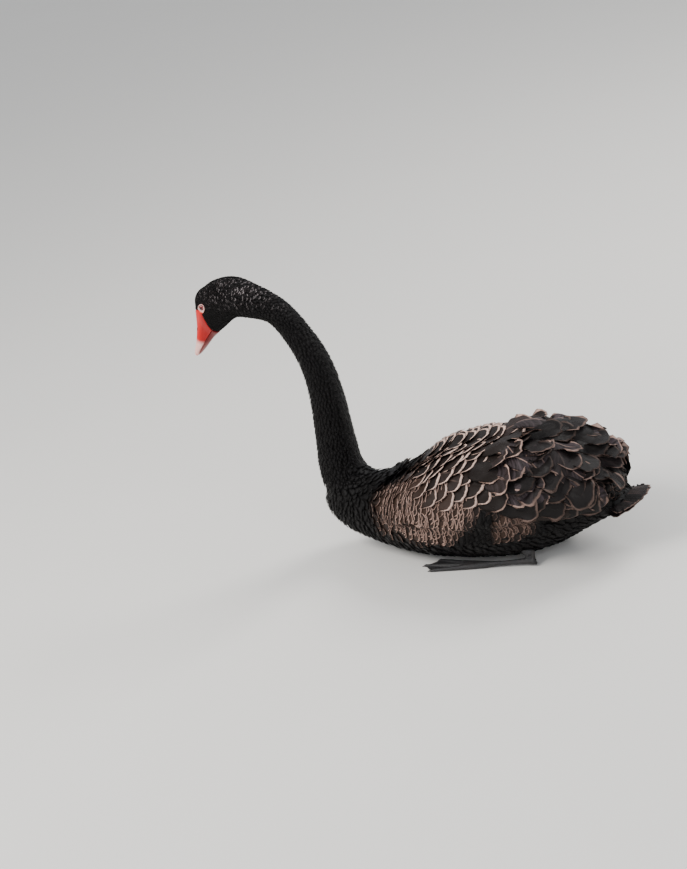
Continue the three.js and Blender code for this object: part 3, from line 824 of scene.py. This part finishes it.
def claw_material(values):
    """Near-black horn of the claws."""
    w = Paint("Claw", Coat_Weight=0.3)
    grain = w.noise(w.object_place(), 500.0)
    return w.finished(w.mix(grain, linear(values.claw), linear(values.claw_grain)),
                      w.ramp(grain, 0.2, 0.8, 0.25, 0.45))


# Property groups

def color_property(name, description, default):
    return bpy.props.FloatVectorProperty(name=name, description=description, subtype="COLOR_GAMMA", size=3,
                                         min=0, max=1, default=default)


def length_property(name, description, default):
    return bpy.props.FloatProperty(name=name, description=description, unit="LENGTH", min=0, default=default)


def angle_property(name, description, degrees):
    return bpy.props.FloatProperty(name=name, description=description, subtype="ANGLE", default=math.radians(degrees))


def power_property(name, watts):
    return bpy.props.FloatProperty(name=name, description=f"Power of the {name.lower()}", unit="POWER", default=watts)


class SwanPlumage(bpy.types.PropertyGroup):
    """Colours and sizes of the feathers."""

    black: color_property("Black", "Colour of most feathers", (0.042, 0.034, 0.033))
    brown: color_property("Brown", "Colour of the flank's brown feathers", (0.20, 0.143, 0.112))
    edge: color_property("Pale edge", "Colour of the feathers' pale edges", (0.80, 0.66, 0.60))
    bright_edge: color_property("Bright edge", "Colour of the shoulder feathers' pale edges", (0.88, 0.75, 0.69))
    # Glint: the pale tips of the small feathers on crown and nape are painted highlights.
    glint: color_property("Glint", "Colour of the small feathers' tips on crown and nape", (0.66, 0.62, 0.62))
    # Sheen: the shader's sheen tint, and also a grey sheen painted into the feathers' colour.
    sheen: color_property("Sheen", "Grey sheen on the broad feathers", (0.33, 0.285, 0.30))
    voxel: length_property("Skin detail", "Distance between the skin's corners", 2.9 * MM)
    body_coat: length_property("Body coat", "Depth of the coat on the body", 5 * MM)
    wing_coat: length_property("Wing coat", "Depth of the coat on the wings", 9 * MM)
    rump_coat: length_property("Rump coat", "Depth of the coat under the curled feathers", 13 * MM)
    neck_coat: length_property("Neck coat", "Depth of the coat on the neck", 2.6 * MM)
    head_coat: length_property("Head coat", "Depth of the coat on the head", 1.2 * MM)


class SwanHead(bpy.types.PropertyGroup):
    """Colours and sizes of the bill, the eyes and the feet."""

    red: color_property("Red", "The bill's sides", (0.78, 0.02, 0.012))
    # Salmon: on the bill's ridge a painted highlight; on the lore the bare skin's own colour.
    salmon: color_property("Salmon", "The bill's ridge", (0.93, 0.21, 0.07))
    # Shade and mottle red: painted shade on the lower bill and toward the gape, and the bill's random darker mottle.
    shade_and_mottle_red: color_property("Dark red", "The lower bill and the gape", (0.36, 0.02, 0.02))
    band: color_property("Band", "The pale band near the bill's tip", (0.95, 0.76, 0.72))
    iris: color_property("Iris", "The eye's iris", (0.55, 0.05, 0.03))
    lid: color_property("Lid", "The bare edge of the lids", (0.93, 0.79, 0.76))
    lid_spots: color_property("Lid spots", "Spots on the lids", (0.80, 0.52, 0.47))
    leg: color_property("Leg", "Skin of the legs and feet", (0.15, 0.145, 0.15))
    leg_mottle: color_property("Leg mottle", "Paler stretches of the legs and feet", (0.27, 0.25, 0.24))
    claw: color_property("Claw", "The claws", (0.06, 0.055, 0.055))
    claw_grain: color_property("Claw grain", "Paler grain of the claws", (0.12, 0.11, 0.1))
    bill_detail: length_property("Bill detail", "Distance between the bill's corners", 0.8 * MM)
    foot_detail: length_property("Foot detail", "Distance between the feet's corners", 1.1 * MM)
    eye_radius: length_property("Eye radius", "Radius of the eyeball", 6.4 * MM)


class SwanStage(bpy.types.PropertyGroup):
    """The camera, the floor and the light."""

    azimuth: angle_property("Azimuth", "Camera direction", 33)
    elevation: angle_property("Elevation", "Camera height", 23)
    roll: angle_property("Roll", "Tilt of the camera", 15)
    distance: length_property("Distance", "From the camera to the point that it looks at", 4.5)
    lens: bpy.props.FloatProperty(name="Lens", description="Focal length", unit="CAMERA", default=108.1)
    aim: bpy.props.FloatVectorProperty(name="Aim", description="The point at the picture's centre", unit="LENGTH",
                                       size=3, default=(-0.2028, 0.0, 0.2105))
    floor: color_property("Floor", "Colour of the floor", (0.86, 0.85, 0.83))
    key: power_property("Key light", 95)
    fill: power_property("Fill light", 34)
    rim: power_property("Rim light", 70)


# The skin

def coat_depth(place):
    """Depth of the coat at a place on the solids: it grows from the head to the neck, body, wings and rump."""
    values = bpy.context.scene.swan_plumage
    share, _, _ = spine_at(place)
    head = values.head_coat * (1 - bill_seat(place))
    neck = head + (values.neck_coat - head) * smooth_step(0.06, 0.16, share)
    body = neck + (values.body_coat - neck) * smooth_step(0.40, 0.56, share)
    wing = smooth_step(-0.15, -0.11, place.x) * smooth_step(0.085, 0.115, place.z)
    rump = smooth_step(0.05, 0.10, place.x) * smooth_step(0.125, 0.16, place.z)
    deep = values.wing_coat + (values.rump_coat - values.wing_coat) * rump
    return body + (deep - body) * wing * smooth_step(0.5, 0.6, share)


def round_spot(spot, near, far):
    """A weight round a spot in millimetres: 1 within near and 0 beyond far."""
    centre = Vector(spot) * MM
    return lambda p: 1 - smooth_step(near * MM, far * MM, (p - centre).length)


class SWAN_OT_skin(bpy.types.Operator):
    """Make one closed skin from the torso, neck, head and wings, inside the coat."""

    bl_idname = "swan.skin"
    bl_label = "Skin"

    def execute(self, context):
        values = context.scene.swan_plumage
        skin = copied(FLESH + WINGS, "skin")
        overlap = 0.6 * MM
        swell(skin, overlap)
        remesh(skin, values.voxel)
        self.close_wings(skin, values.voxel)
        smooth(skin, 120, weigh(skin, lambda p: smooth_step(0.02, 0.06, p.x) * smooth_step(0.09, 0.12, p.z)))
        smooth(skin, 12, weigh(skin, lambda p: smooth_step(-0.33, -0.25, p.x)))
        smooth(skin, 90, weigh(skin, lambda p: soft_box(p.z, 0.078, 0.13, 0.016) * soft_box(p.x, -0.14, 0.2, 0.03)))
        smooth(skin, 90, weigh(skin, round_spot((-350, 0, 440), 12, 36)))
        swell(skin, 4.2 * MM, weigh(skin, round_spot((-419, 0, 487), 4, 27)))
        smooth(skin, 3)
        deepest = values.rump_coat
        coat = weigh(skin, lambda p: coat_depth(p) / deepest)
        seat = weigh(skin, bill_seat)
        swell(skin, -deepest - overlap, coat)
        smooth(skin, 3)
        swell(skin, 1.3 * MM, seat)
        tones = (markings(vertex.co) for vertex in skin.data.vertices)
        # The skin's down gets a third of the painted sheen share.
        paint(skin.data, [(brown, edge, 0.5, 0.3 * sheen) for brown, edge, sheen in tones])
        finish_piece(skin, down_material(), "plumage", *FLESH)
        return {"FINISHED"}

    def close_wings(self, skin, voxel):
        """Grows the wings and shrinks them again, which closes the hollows under their raised feathers."""
        for grown in (8 * MM, -8 * MM):
            swell(skin, grown, weigh(skin, lambda p: smooth_step(-0.16, -0.12, p.x) * smooth_step(0.08, 0.11, p.z)))
            remesh(skin, voxel)


class SWAN_OT_materials(bpy.types.Operator):
    """Make the shared node groups and the feather materials."""

    bl_idname = "swan.materials"
    bl_label = "Feather materials"

    def execute(self, context):
        values = context.scene.swan_plumage
        vane_pattern()
        plumage_colour(values)
        # The small feathers' pale edges, in the glint colour, are painted highlights.
        feather_material("Small_feather", 0.22, 8.0, 0.12 * MM, values.glint)
        feather_material("Body_feather", 0.085, 16.0, 0.18 * MM, values.edge, 0.9)
        feather_material("Wing_feather", 0.105, 34.0, 0.25 * MM, values.bright_edge)
        feather_material("Long_feather", 0.055, 60.0, 0.3 * MM, values.edge)
        return {"FINISHED"}


class SWAN_OT_head_feathers(bpy.types.Operator):
    """Cover the head with its small, flat feathers."""

    bl_idname = "swan.head_feathers"
    bl_label = "Head feathers"

    def execute(self, context):
        def shape(root, share, draw):
            face = 1 - smooth_step(8, 34, -in_front_of_line(root))
            size = (7.0 - 3.6 * face) * (0.85 + 0.3 * draw.random())
            return dict(length=size, width=0.62 * size, thickness=0.3, low=-0.3, high=1.5 - 0.8 * face, crown=0.25,
                        ragged=0.12, glints=0.25)

        def spacing(root):
            return (1.5 + 0.9 * smooth_step(6, 34, -in_front_of_line(root))) * MM

        cover("coat_head", lambda p: p.x < HEAD_END and open_skin(p), spacing, shape, 3, (3, 2), "Small_feather")
        return {"FINISHED"}


class SWAN_OT_neck_feathers(bpy.types.Operator):
    """Cover the neck with small overlapping feathers."""

    bl_idname = "swan.neck_feathers"
    bl_label = "Neck feathers"

    def execute(self, context):
        def shape(root, share, draw):
            grown = smooth_step(0.15, 0.5, share)
            size = (9.5 + 6 * grown) * (0.85 + 0.3 * draw.random())
            return dict(length=size, width=0.6 * size, thickness=0.35, low=-0.4, high=2.3 + 1.0 * grown, crown=0.28,
                        ragged=0.12, glints=0.3)

        def spacing(root):
            return (3.3 if root.z > 420 * MM else 4.4) * MM

        def on_neck(place, low, high):
            return low < place.z <= high and HEAD_END <= place.x < -150 * MM

        for name, low, high, seed in (("upper", UPPER_NECK_END, math.inf, 5), ("lower", NECK_END, UPPER_NECK_END, 6)):
            cover(f"coat_neck_{name}", lambda p: on_neck(p, low, high), spacing, shape, seed, (4, 2), "Small_feather")
        return {"FINISHED"}


class SWAN_OT_body_feathers(bpy.types.Operator):
    """Cover the breast, belly, flanks and rear with rounded body feathers."""

    bl_idname = "swan.body_feathers"
    bl_label = "Body feathers"

    def execute(self, context):
        def shape(root, share, draw):
            grown = smooth_step(-0.25, -0.12, root.x)
            size = (15 + 15 * grown) * (0.85 + 0.3 * draw.random())
            return dict(length=size, width=(0.62 - 0.05 * grown) * size, thickness=0.45, low=-0.8,
                        high=3.6 + 1.2 * grown, crown=0.2, ragged=0.1)

        def spacing(root):
            return (5.2 + 3.0 * smooth_step(-0.25, -0.12, root.x)) * MM

        def bare(place):
            under_tail = place.x > 290 * MM and place.z > 74 * MM
            neck_root = -0.2 < place.x < -0.09 and place.z < 0.17
            return under_tail or on_flank(place) or not (place.z <= NECK_END or neck_root)

        breast_end, belly_top = -120 * MM, 30 * MM
        regions = {
            "breast": lambda p: p.x < breast_end,
            "flank_left": lambda p: p.x >= breast_end and p.y < 0 and p.z > belly_top,
            "flank_right": lambda p: p.x >= breast_end and p.y >= 0 and p.z > belly_top,
            "belly": lambda p: p.x >= breast_end and p.z <= belly_top,
        }
        for seed, (name, inside) in enumerate(regions.items()):
            cover(f"coat_{name}", lambda p: inside(p) and not bare(p), spacing, shape, 20 + seed, (5, 4),
                  "Body_feather")
        return {"FINISHED"}


class SWAN_OT_flank_feathers(bpy.types.Operator):
    """Lay the short, wide, pale-barred feathers of the flanks in close rows."""

    bl_idname = "swan.flank_feathers"
    bl_label = "Flank feathers"

    def execute(self, context):
        lay_both("coat_flank_rows", self.lay, 30, (6, 6), 0.006, "Body_feather", "plumage")
        return {"FINISHED"}

    def lay(self, coat, sign):
        draw = coat.draw
        rows = [(row, -140 + 9.6 * row) for row in range(30, -1, -1)]
        for x, _, root in rows_on_back(coat, sign, rows, 18, 0.92, 0.062, (0.012, 1.6)):
            if on_flank(root):
                size = (29 + 5 * smooth_step(-130, -60, x)) * (0.9 + 0.2 * draw.random())
                coat.add(root, Vector((1, 0, 0.02)), length=size, width=0.8 * size, thickness=0.45, low=-0.8, high=4.6,
                         crown=0.07, tilt=sign * 0.08, ragged=0.07, tip=0.5, turn=draw.gauss(0, 0.08), narrow=0.5)


class SWAN_OT_shoulder_feathers(bpy.types.Operator):
    """Lay the pale-edged feathers of the shoulders in rows."""

    bl_idname = "swan.shoulder_feathers"
    bl_label = "Shoulder feathers"

    def execute(self, context):
        lay_both("wing_shoulder", self.lay, 40, (10, 8), 0.012, "Wing_feather", "wing_plumage")
        return {"FINISHED"}

    def lay(self, coat, sign):
        draw = coat.draw
        rows = [(row, -146 + 19.0 * row) for row in range(12, -1, -1)]
        for x, angle, root in rows_on_back(coat, sign, rows, 8, 0.07, 0.235, (0.02, 2.5)):
            if root.z < 0.142 - 0.05 * smooth_step(-120, -145, x):
                continue
            larger, smaller = smooth_step(-150, -80, x), smooth_step(0.9, 1.4, angle)
            size = (36 + 24 * larger - 12 * smaller) * (0.94 + 0.12 * draw.random())
            coat.add(root, BACKWARD, length=size, width=0.76 * size, high=7.5 + 1.5 * draw.random(), crown=0.08,
                     tilt=sign * 0.12, turn=sign * draw.gauss(0.12, 0.05), curl=sign * draw.gauss(0.06, 0.08),
                     ragged=0.04, tip=0.95, narrow=0.5, ruffle=0.8)


class SWAN_OT_rump_feathers(bpy.types.Operator):
    """Pile up the broad curled feathers over the rump, tier on tier."""

    bl_idname = "swan.rump_feathers"
    bl_label = "Curled feathers"

    def execute(self, context):
        lay_both("wing_curled", self.lay, 60, (18, 10), 0.02, "Long_feather", "wing_plumage")
        return {"FINISHED"}

    def lay(self, coat, sign):
        draw = coat.draw
        tiers = enumerate((232, 208, 182, 156, 130, 104, 78))
        for x, angle, root in rows_on_back(coat, sign, tiers, 8, 0.08, 0.215, (0.025, 5)):
            if root.z < 0.098 or on_flank(root):
                continue
            small = 1 - 0.25 * smooth_step(190, 235, x)
            upper = 1 - 0.6 * smooth_step(0.9, 1.5, angle)
            coat.add(root, BACKWARD, length=80 * small * (0.82 + 0.42 * draw.random()),
                     width=(44 + 10 * draw.random()) * small, high=7 + (3 + 5 * draw.random()) * upper,
                     arch=4 * upper, flick=(14 * draw.random() - 1) * upper, tilt=sign * 0.16,
                     turn=sign * draw.gauss(0.12, 0.16), curl=sign * draw.gauss(0.12, 0.28), narrow=0.5,
                     ruffle=(2 + 5 * draw.random()) * upper, waves=9 + 6 * draw.random())
        loose_feathers = 9
        for k in range(loose_feathers):
            root = coat.surface.on_back(66 + 17 * k + draw.gauss(0, 6), 0.1 + 1.0 * draw.random(), sign)
            coat.add(root, BACKWARD, length=70 + 20 * draw.random(), width=38, high=16, rise=0.6, arch=7, flick=-5,
                     crown=0.3, tilt=sign * 0.1, turn=sign * draw.gauss(0.1, 0.3), curl=sign * draw.gauss(0.3, 0.4),
                     narrow=0.45, ruffle=4, waves=12)


class SWAN_OT_flight_feathers(bpy.types.Operator):
    """Lay the long dark flight feathers along the wing's lower edge."""

    bl_idname = "swan.flight_feathers"
    bl_label = "Flight feathers"

    def execute(self, context):
        lay_both("wing_flight", self.lay, 80, (18, 6), 0.02, "Long_feather", "wing_plumage", "wing")
        return {"FINISHED"}

    def lay(self, coat, sign):
        draw = coat.draw
        # The flight feathers' tone: brown, pale edge and a share of painted sheen.
        dark = (0.04, 0.3, 0.35)
        for layer, (angle, first, length) in enumerate(((1.70, 208, 100), (1.5, 192, 88))):
            for k in range(8 - layer):
                root = coat.surface.on_back(first - 14 * k, angle + draw.gauss(0, 0.02), sign)
                if root:
                    coat.add(root, Vector((1, 0, 0.05)), dark, length=length + 8 * draw.random(), width=27, low=-1.0,
                             high=5.5 + 2.5 * layer, crown=0.06, tilt=-sign * 0.12, turn=sign * 0.02, ragged=0.03,
                             tip=0.8, narrow=0.6, taper=0.35)


class SWAN_OT_tail_feathers(bpy.types.Operator):
    """Spread the tail's fan of feathers over a small core."""

    bl_idname = "swan.tail_feathers"
    bl_label = "Tail feathers"

    def execute(self, context):
        core = copied(["tail"], "tail_core")
        core_depth = 2.2 * MM
        remesh(core, core_depth)
        smooth(core, 14)
        swell(core, -core_depth)
        # The core's tone, with a small share of painted sheen.
        paint(core.data, [(0.0, 0.1, 0.5, 0.1)] * len(core.data.vertices))
        coat = Coat(Surface(core), (14, 6), 0.02, random.Random(95))
        sides = [2 * k / 15 - 1 for k in range(16)]
        for level, length, rise in ((85, 62, 0.03), (93, 76, 0.12)):
            for side in sorted(sides, key=lambda side: -abs(side)):
                root = Vector((266, side * 15, level - 6 * side * side)) * MM
                reach = (length - 18 * side * side) * (0.97 + 0.06 * coat.draw.random()) * MM
                add_free_vane(coat, root, side * 0.55, reach, 19 * MM, rise - 0.05 * side * side, side * 0.22)
        finish_piece(core, bpy.data.materials["Down"], "wing_plumage")
        coat.build("tail_fan", "Long_feather", "wing_plumage", "tail")
        return {"FINISHED"}


def add_free_vane(coat, root, turn, length, width, climb, roll):
    """A tail feather that stands free of the skin: a thin crowned vane, rolled a little, with a rounded tip."""
    draw = coat.draw
    way = Vector((math.cos(turn), math.sin(turn), climb)).normalized()
    side = Vector((-math.sin(turn), math.cos(turn), 0))
    normal = side.cross(way)
    normal = normal if normal.z > 0 else -normal
    side, normal = side * math.cos(roll) - normal * math.sin(roll), normal * math.cos(roll) + side * math.sin(roll)
    frayed = [0.03 * (draw.random() - 0.5) for _ in range(coat.columns + 1)]
    grid = []
    for r in range(coat.rows + 1):
        share = r / coat.rows
        half = width / 2 * (0.5 + 0.5 * math.sin(math.pi / 2 * min(1.0, share / 0.5)))
        droop = 0.06 * length * share ** 2
        line = []
        for c in range(coat.columns + 1):
            across = 2 * c / coat.columns - 1
            back = 1.3 * half * share ** 3 * (1 - math.sqrt(max(0.0, 1 - 0.98 * across * across)))
            reach = share * length - back + frayed[c] * length * share ** 3
            crowned = -droop - 0.22 * half * across * across
            line.append((root + way * reach + side * across * half + normal * crowned, normal))
        grid.append(line)
    # The tail feather's tone, with a share of painted sheen.
    tone = (0.08, 0.35 + 0.3 * draw.random(), draw.random(), 0.4)
    coat.keep(grid, 0.7 * MM, 0.6, tone, (0.5 + turn / 3, 0.5 + 6 * root.z - 0.54))


# Bill, eyes, lids, legs and feet

class SWAN_OT_bill(bpy.types.Operator):
    """Smooth the two halves of the bill, and give the upper one its hollow ridge and the nail at its tip."""

    bl_idname = "swan.bill"
    bl_label = "Bill"

    def execute(self, context):
        values = context.scene.swan_head
        for part, lower in (("upper", False), ("lower", True)):
            piece = copied([f"bill_{part}"], f"horn_{part}")
            remesh(piece, values.bill_detail)
            smooth(piece, 7)
            if not lower:
                self.hollow_ridge(piece)
                nail = weigh(piece, lambda p: smooth_step(0.86, 0.89, nail_share(p)) * (p.x < -440 * MM))
                swell(piece, 0.7 * MM, nail)
            smooth(piece, 1)
            finish_piece(piece, horn_material(f"Horn_{part}", lower), "bill", f"bill_{part}")
        return {"FINISHED"}

    def hollow_ridge(self, piece):
        """Makes the ridge hollow between forehead and nail, and turns the nail's end out a little."""
        for vertex in piece.data.vertices:
            reach = vertex.co - BILL_BASE
            share = reach.dot(BILL_WAY) / BILL_AXIS.length
            depth = 3.2 * math.exp(-((share - 0.5) / 0.2) ** 2) - 1.2 * math.exp(-((share - 0.97) / 0.1) ** 2)
            vertex.co -= BILL_FRONT * depth * MM * smooth_step(-1 * MM, 9 * MM, reach.dot(BILL_FRONT))


class SWAN_OT_eyes(bpy.types.Operator):
    """Make each eye with iris and pupil, and the pale bare lids round it."""

    bl_idname = "swan.eyes"
    bl_label = "Eyes and lids"

    def execute(self, context):
        values = context.scene.swan_head
        iris, lids = eye_material(values), lid_material(values)
        for side, sign in SIDES.items():
            centre = Vector((EYE.x, sign * EYE.y, EYE.z))
            deselect()
            bpy.ops.mesh.primitive_uv_sphere_add(segments=40, ring_count=24, radius=values.eye_radius,
                                                 location=centre, rotation=(math.radians(90), 0, 0))
            eye = named(f"eyeball_{side}")
            bpy.ops.object.transform_apply(location=True, rotation=True, scale=True)
            cornea = weigh(eye, lambda p: smooth_step(0.72, 0.95, sign * (p - centre).y / values.eye_radius))
            swell(eye, 0.35 * MM, cornea)
            finish_piece(eye, iris, "eye", f"eye_{side}")
            self.add_lids(side, sign, centre, lids)
        return {"FINISHED"}

    def add_lids(self, side, sign, centre, material):
        """Bare lids as one almond ring that lies on the head, with the bare lore that runs on to the bill."""
        shell = self.shell()
        ring_radius, opening, lift = 6.2 * MM, 4.9 * MM, 3.4 * MM
        deselect()
        bpy.ops.mesh.primitive_torus_add(major_segments=56, minor_segments=14, major_radius=ring_radius,
                                         minor_radius=1.8 * MM, location=(0, 0, 0))
        ring = named(f"lids_{side}")
        over = Vector((-LORE_WAY.z, 0, LORE_WAY.x))
        for vertex in ring.data.vertices:
            x, y, z = vertex.co
            angle = math.atan2(y, x)
            forward, upward = math.cos(angle), math.sin(angle)
            stretch = (1 + 0.2 * abs(forward) ** 3) * (1 - 0.12 * upward ** 2)
            radial = math.hypot(x, y) - ring_radius
            outer = max(0.0, radial)
            reach = opening * stretch + radial * (1.15 + 0.25 * forward) + 2.4 * outer * max(0.0, forward) ** 6
            height = z * 0.9 + lift - outer * 0.9 - 1.3 * MM * forward ** 4
            place = centre + (LORE_WAY * forward + over * upward) * reach
            spot, _, _, _ = shell.ray_cast(Vector((place.x, sign * 80 * MM, place.z)), Vector((0, -sign, 0)))
            out = abs(centre.y + sign * height)
            if spot and radial > 0:
                seated = abs(spot.y) + (0.9 if z > 0 else -0.8) * MM
                out += (seated - out) * smooth_step(0, 1 * MM, radial)
            vertex.co = (place.x, sign * out, place.z)
        edit(ring, bpy.ops.mesh.normals_make_consistent, inside=False)
        apply_modifier(ring, "SUBSURF", levels=1, render_levels=1)
        finish_piece(ring, material, "bill")

    def shell(self):
        """The head and the upper bill as one surface for rays."""
        points, faces = [], []
        for node in ("head", "bill_upper"):
            mesh = frame["nodes"][node].data
            faces += [[len(points) + i for i in face.vertices] for face in mesh.polygons]
            points += [vertex.co for vertex in mesh.vertices]
        return BVHTree.FromPolygons(points, faces)


class SWAN_OT_feet(bpy.types.Operator):
    """Smooth the tucked legs and webbed feet and add the claws."""

    bl_idname = "swan.feet"
    bl_label = "Legs and feet"

    def execute(self, context):
        values = context.scene.swan_head
        skin, claw = scale_material(values), claw_material(values)
        for side, sign in SIDES.items():
            piece = copied([f"leg_{side}", f"foot_{side}"], f"leg_and_foot_{side}")
            swell(piece, 0.3 * MM)
            remesh(piece, values.foot_detail)
            smooth(piece, 5)
            self.slim_shank(piece, Vector((62, sign * 86, 6)) * MM, Vector((150, sign * 76, 10)) * MM)
            finish_piece(piece, skin, "leg_skin", f"leg_{side}", f"foot_{side}")
            self.add_claws(side, sign, claw)
        return {"FINISHED"}

    def slim_shank(self, piece, toe_root, heel):
        """Makes the shank thinner between the toes' root and the heel, and keeps the foot above the floor."""
        shank = heel - toe_root
        for vertex in piece.data.vertices:
            share = min(1.0, max(0.0, (vertex.co - toe_root).dot(shank) / shank.length_squared))
            centre = toe_root.lerp(heel, share)
            if vertex.co.x > toe_root.x and (vertex.co - centre).length < 8 * MM:
                vertex.co = centre + (vertex.co - centre) * (0.66 + 0.34 * abs(2 * share - 1) ** 3)
            vertex.co.z = max(vertex.co.z, FOOT_FLOOR)

    def add_claws(self, side, sign, material):
        """Three short curved claws at the toes' tips."""
        length, sunk, height, droop = 9 * MM, 2 * MM, 2.9 * MM, 2.6 * MM
        claws = []
        for x, y in ((-36, 104), (-54, 87), (-34, 68)):
            deselect()
            bpy.ops.mesh.primitive_cone_add(vertices=12, radius1=2.3 * MM, radius2=0.5 * MM, depth=length,
                                            location=(0, 0, 0))
            claw = bpy.context.object
            edit(claw, bpy.ops.mesh.subdivide, number_cuts=3)
            for vertex in claw.data.vertices:
                aside, up, along = vertex.co
                along += length / 2
                level = height + up - droop * (along / length) ** 2
                vertex.co = (x * MM + sunk - along, sign * y * MM + aside, max(level, FOOT_FLOOR))
            claws.append(claw)
        deselect()
        for claw in claws:
            claw.select_set(True)
        bpy.context.view_layer.objects.active = claws[0]
        bpy.ops.object.join()
        piece = named(f"claws_{side}")
        edit(piece, bpy.ops.mesh.normals_make_consistent, inside=False)
        finish_piece(piece, material, "leg_skin")


# Stage

class SWAN_OT_stage(bpy.types.Operator):
    """Set the floor, the lights and the camera at the photo's angle."""

    bl_idname = "swan.stage"
    bl_label = "Stage"

    def execute(self, context):
        values = context.scene.swan_stage
        deselect()
        bpy.ops.mesh.primitive_plane_add(size=14, location=(0, 0, 0))
        floor = bpy.context.object
        floor.name = "floor"
        w = Paint("Floor")
        roughness = w.ramp(w.noise(w.object_place(), 3.0), 0.3, 0.7, 0.5, 0.6)
        floor.data.materials.append(w.finished(linear(values.floor), roughness))
        world = bpy.data.worlds.new("Soft_light")
        context.scene.world = world
        world.use_nodes = True
        background = world.node_tree.nodes["Background"]
        background.inputs[0].default_value = (0.92, 0.95, 1.0, 1)
        background.inputs[1].default_value = 0.75
        for name, place, size, power, color in (("key", (-1.3, -1.6, 2.4), 1.6, values.key, (1.0, 0.98, 0.95)),
                                                ("fill", (1.9, -1.9, 1.2), 2.0, values.fill, (0.92, 0.95, 1.0)),
                                                ("rim", (1.0, 1.9, 2.2), 1.3, values.rim, (1.0, 0.99, 0.97))):
            self.area(name, place, size, power, color)
        self.camera(context, values)
        return {"FINISHED"}

    def area(self, name, place, size, power, color):
        """A square lamp that looks at the swan."""
        deselect()
        bpy.ops.object.light_add(type="AREA", location=place)
        lamp = bpy.context.object
        lamp.name = f"light_{name}"
        lamp.data.size = size
        lamp.data.energy = power
        lamp.data.color = color
        swan = Vector((-0.05, 0, 0.2))
        lamp.rotation_euler = (swan - Vector(place)).to_track_quat("-Z", "Y").to_euler()

    def camera(self, context, values):
        """A camera that keeps the photo's framing, rolled as the photo is."""
        a, e, roll = values.azimuth, values.elevation, values.roll
        back = Vector((math.sin(a) * math.cos(e), -math.cos(a) * math.cos(e), math.sin(e)))
        level = Vector((math.cos(a), math.sin(a), 0))
        upright = back.cross(level)
        right = level * math.cos(roll) - upright * math.sin(roll)
        top = level * math.sin(roll) + upright * math.cos(roll)
        turn = Matrix((right, top, back)).transposed()
        deselect()
        bpy.ops.object.camera_add(location=Vector(values.aim) + back * values.distance, rotation=turn.to_euler())
        camera = bpy.context.object
        camera.name = "photo_camera"
        camera.data.lens = values.lens
        camera.data.clip_end = 50
        context.scene.camera = camera


# In the order in which they run

OPERATORS = [SWAN_OT_materials, SWAN_OT_skin, SWAN_OT_head_feathers, SWAN_OT_neck_feathers, SWAN_OT_body_feathers,
             SWAN_OT_flank_feathers, SWAN_OT_shoulder_feathers, SWAN_OT_rump_feathers, SWAN_OT_flight_feathers,
             SWAN_OT_tail_feathers, SWAN_OT_bill, SWAN_OT_eyes, SWAN_OT_feet, SWAN_OT_stage]


class SWAN_PT_panel(bpy.types.Panel):
    """Lists the steps that make the swan."""

    bl_label = "Black swan"
    bl_space_type = "VIEW_3D"
    bl_region_type = "UI"
    bl_category = "Swan"

    def draw(self, context):
        for operator in OPERATORS:
            self.layout.operator(operator.bl_idname)
        for group in GROUPS:
            values = getattr(context.scene, group)
            for name in values.__annotations__:
                self.layout.prop(values, name)


GROUPS = {"swan_plumage": SwanPlumage, "swan_head": SwanHead, "swan_stage": SwanStage}
CLASSES = [*GROUPS.values(), *OPERATORS, SWAN_PT_panel]


def register():
    for item in CLASSES:
        bpy.utils.register_class(item)
    for name, group in GROUPS.items():
        setattr(bpy.types.Scene, name, bpy.props.PointerProperty(type=group))


def unregister():
    for name in GROUPS:
        delattr(bpy.types.Scene, name)
    for item in reversed(CLASSES):
        bpy.utils.unregister_class(item)


def main():
    register()
    for operator in OPERATORS:
        module, name = operator.bl_idname.split(".")
        getattr(getattr(bpy.ops, module), name)()


if __name__ == "__main__":
    main()
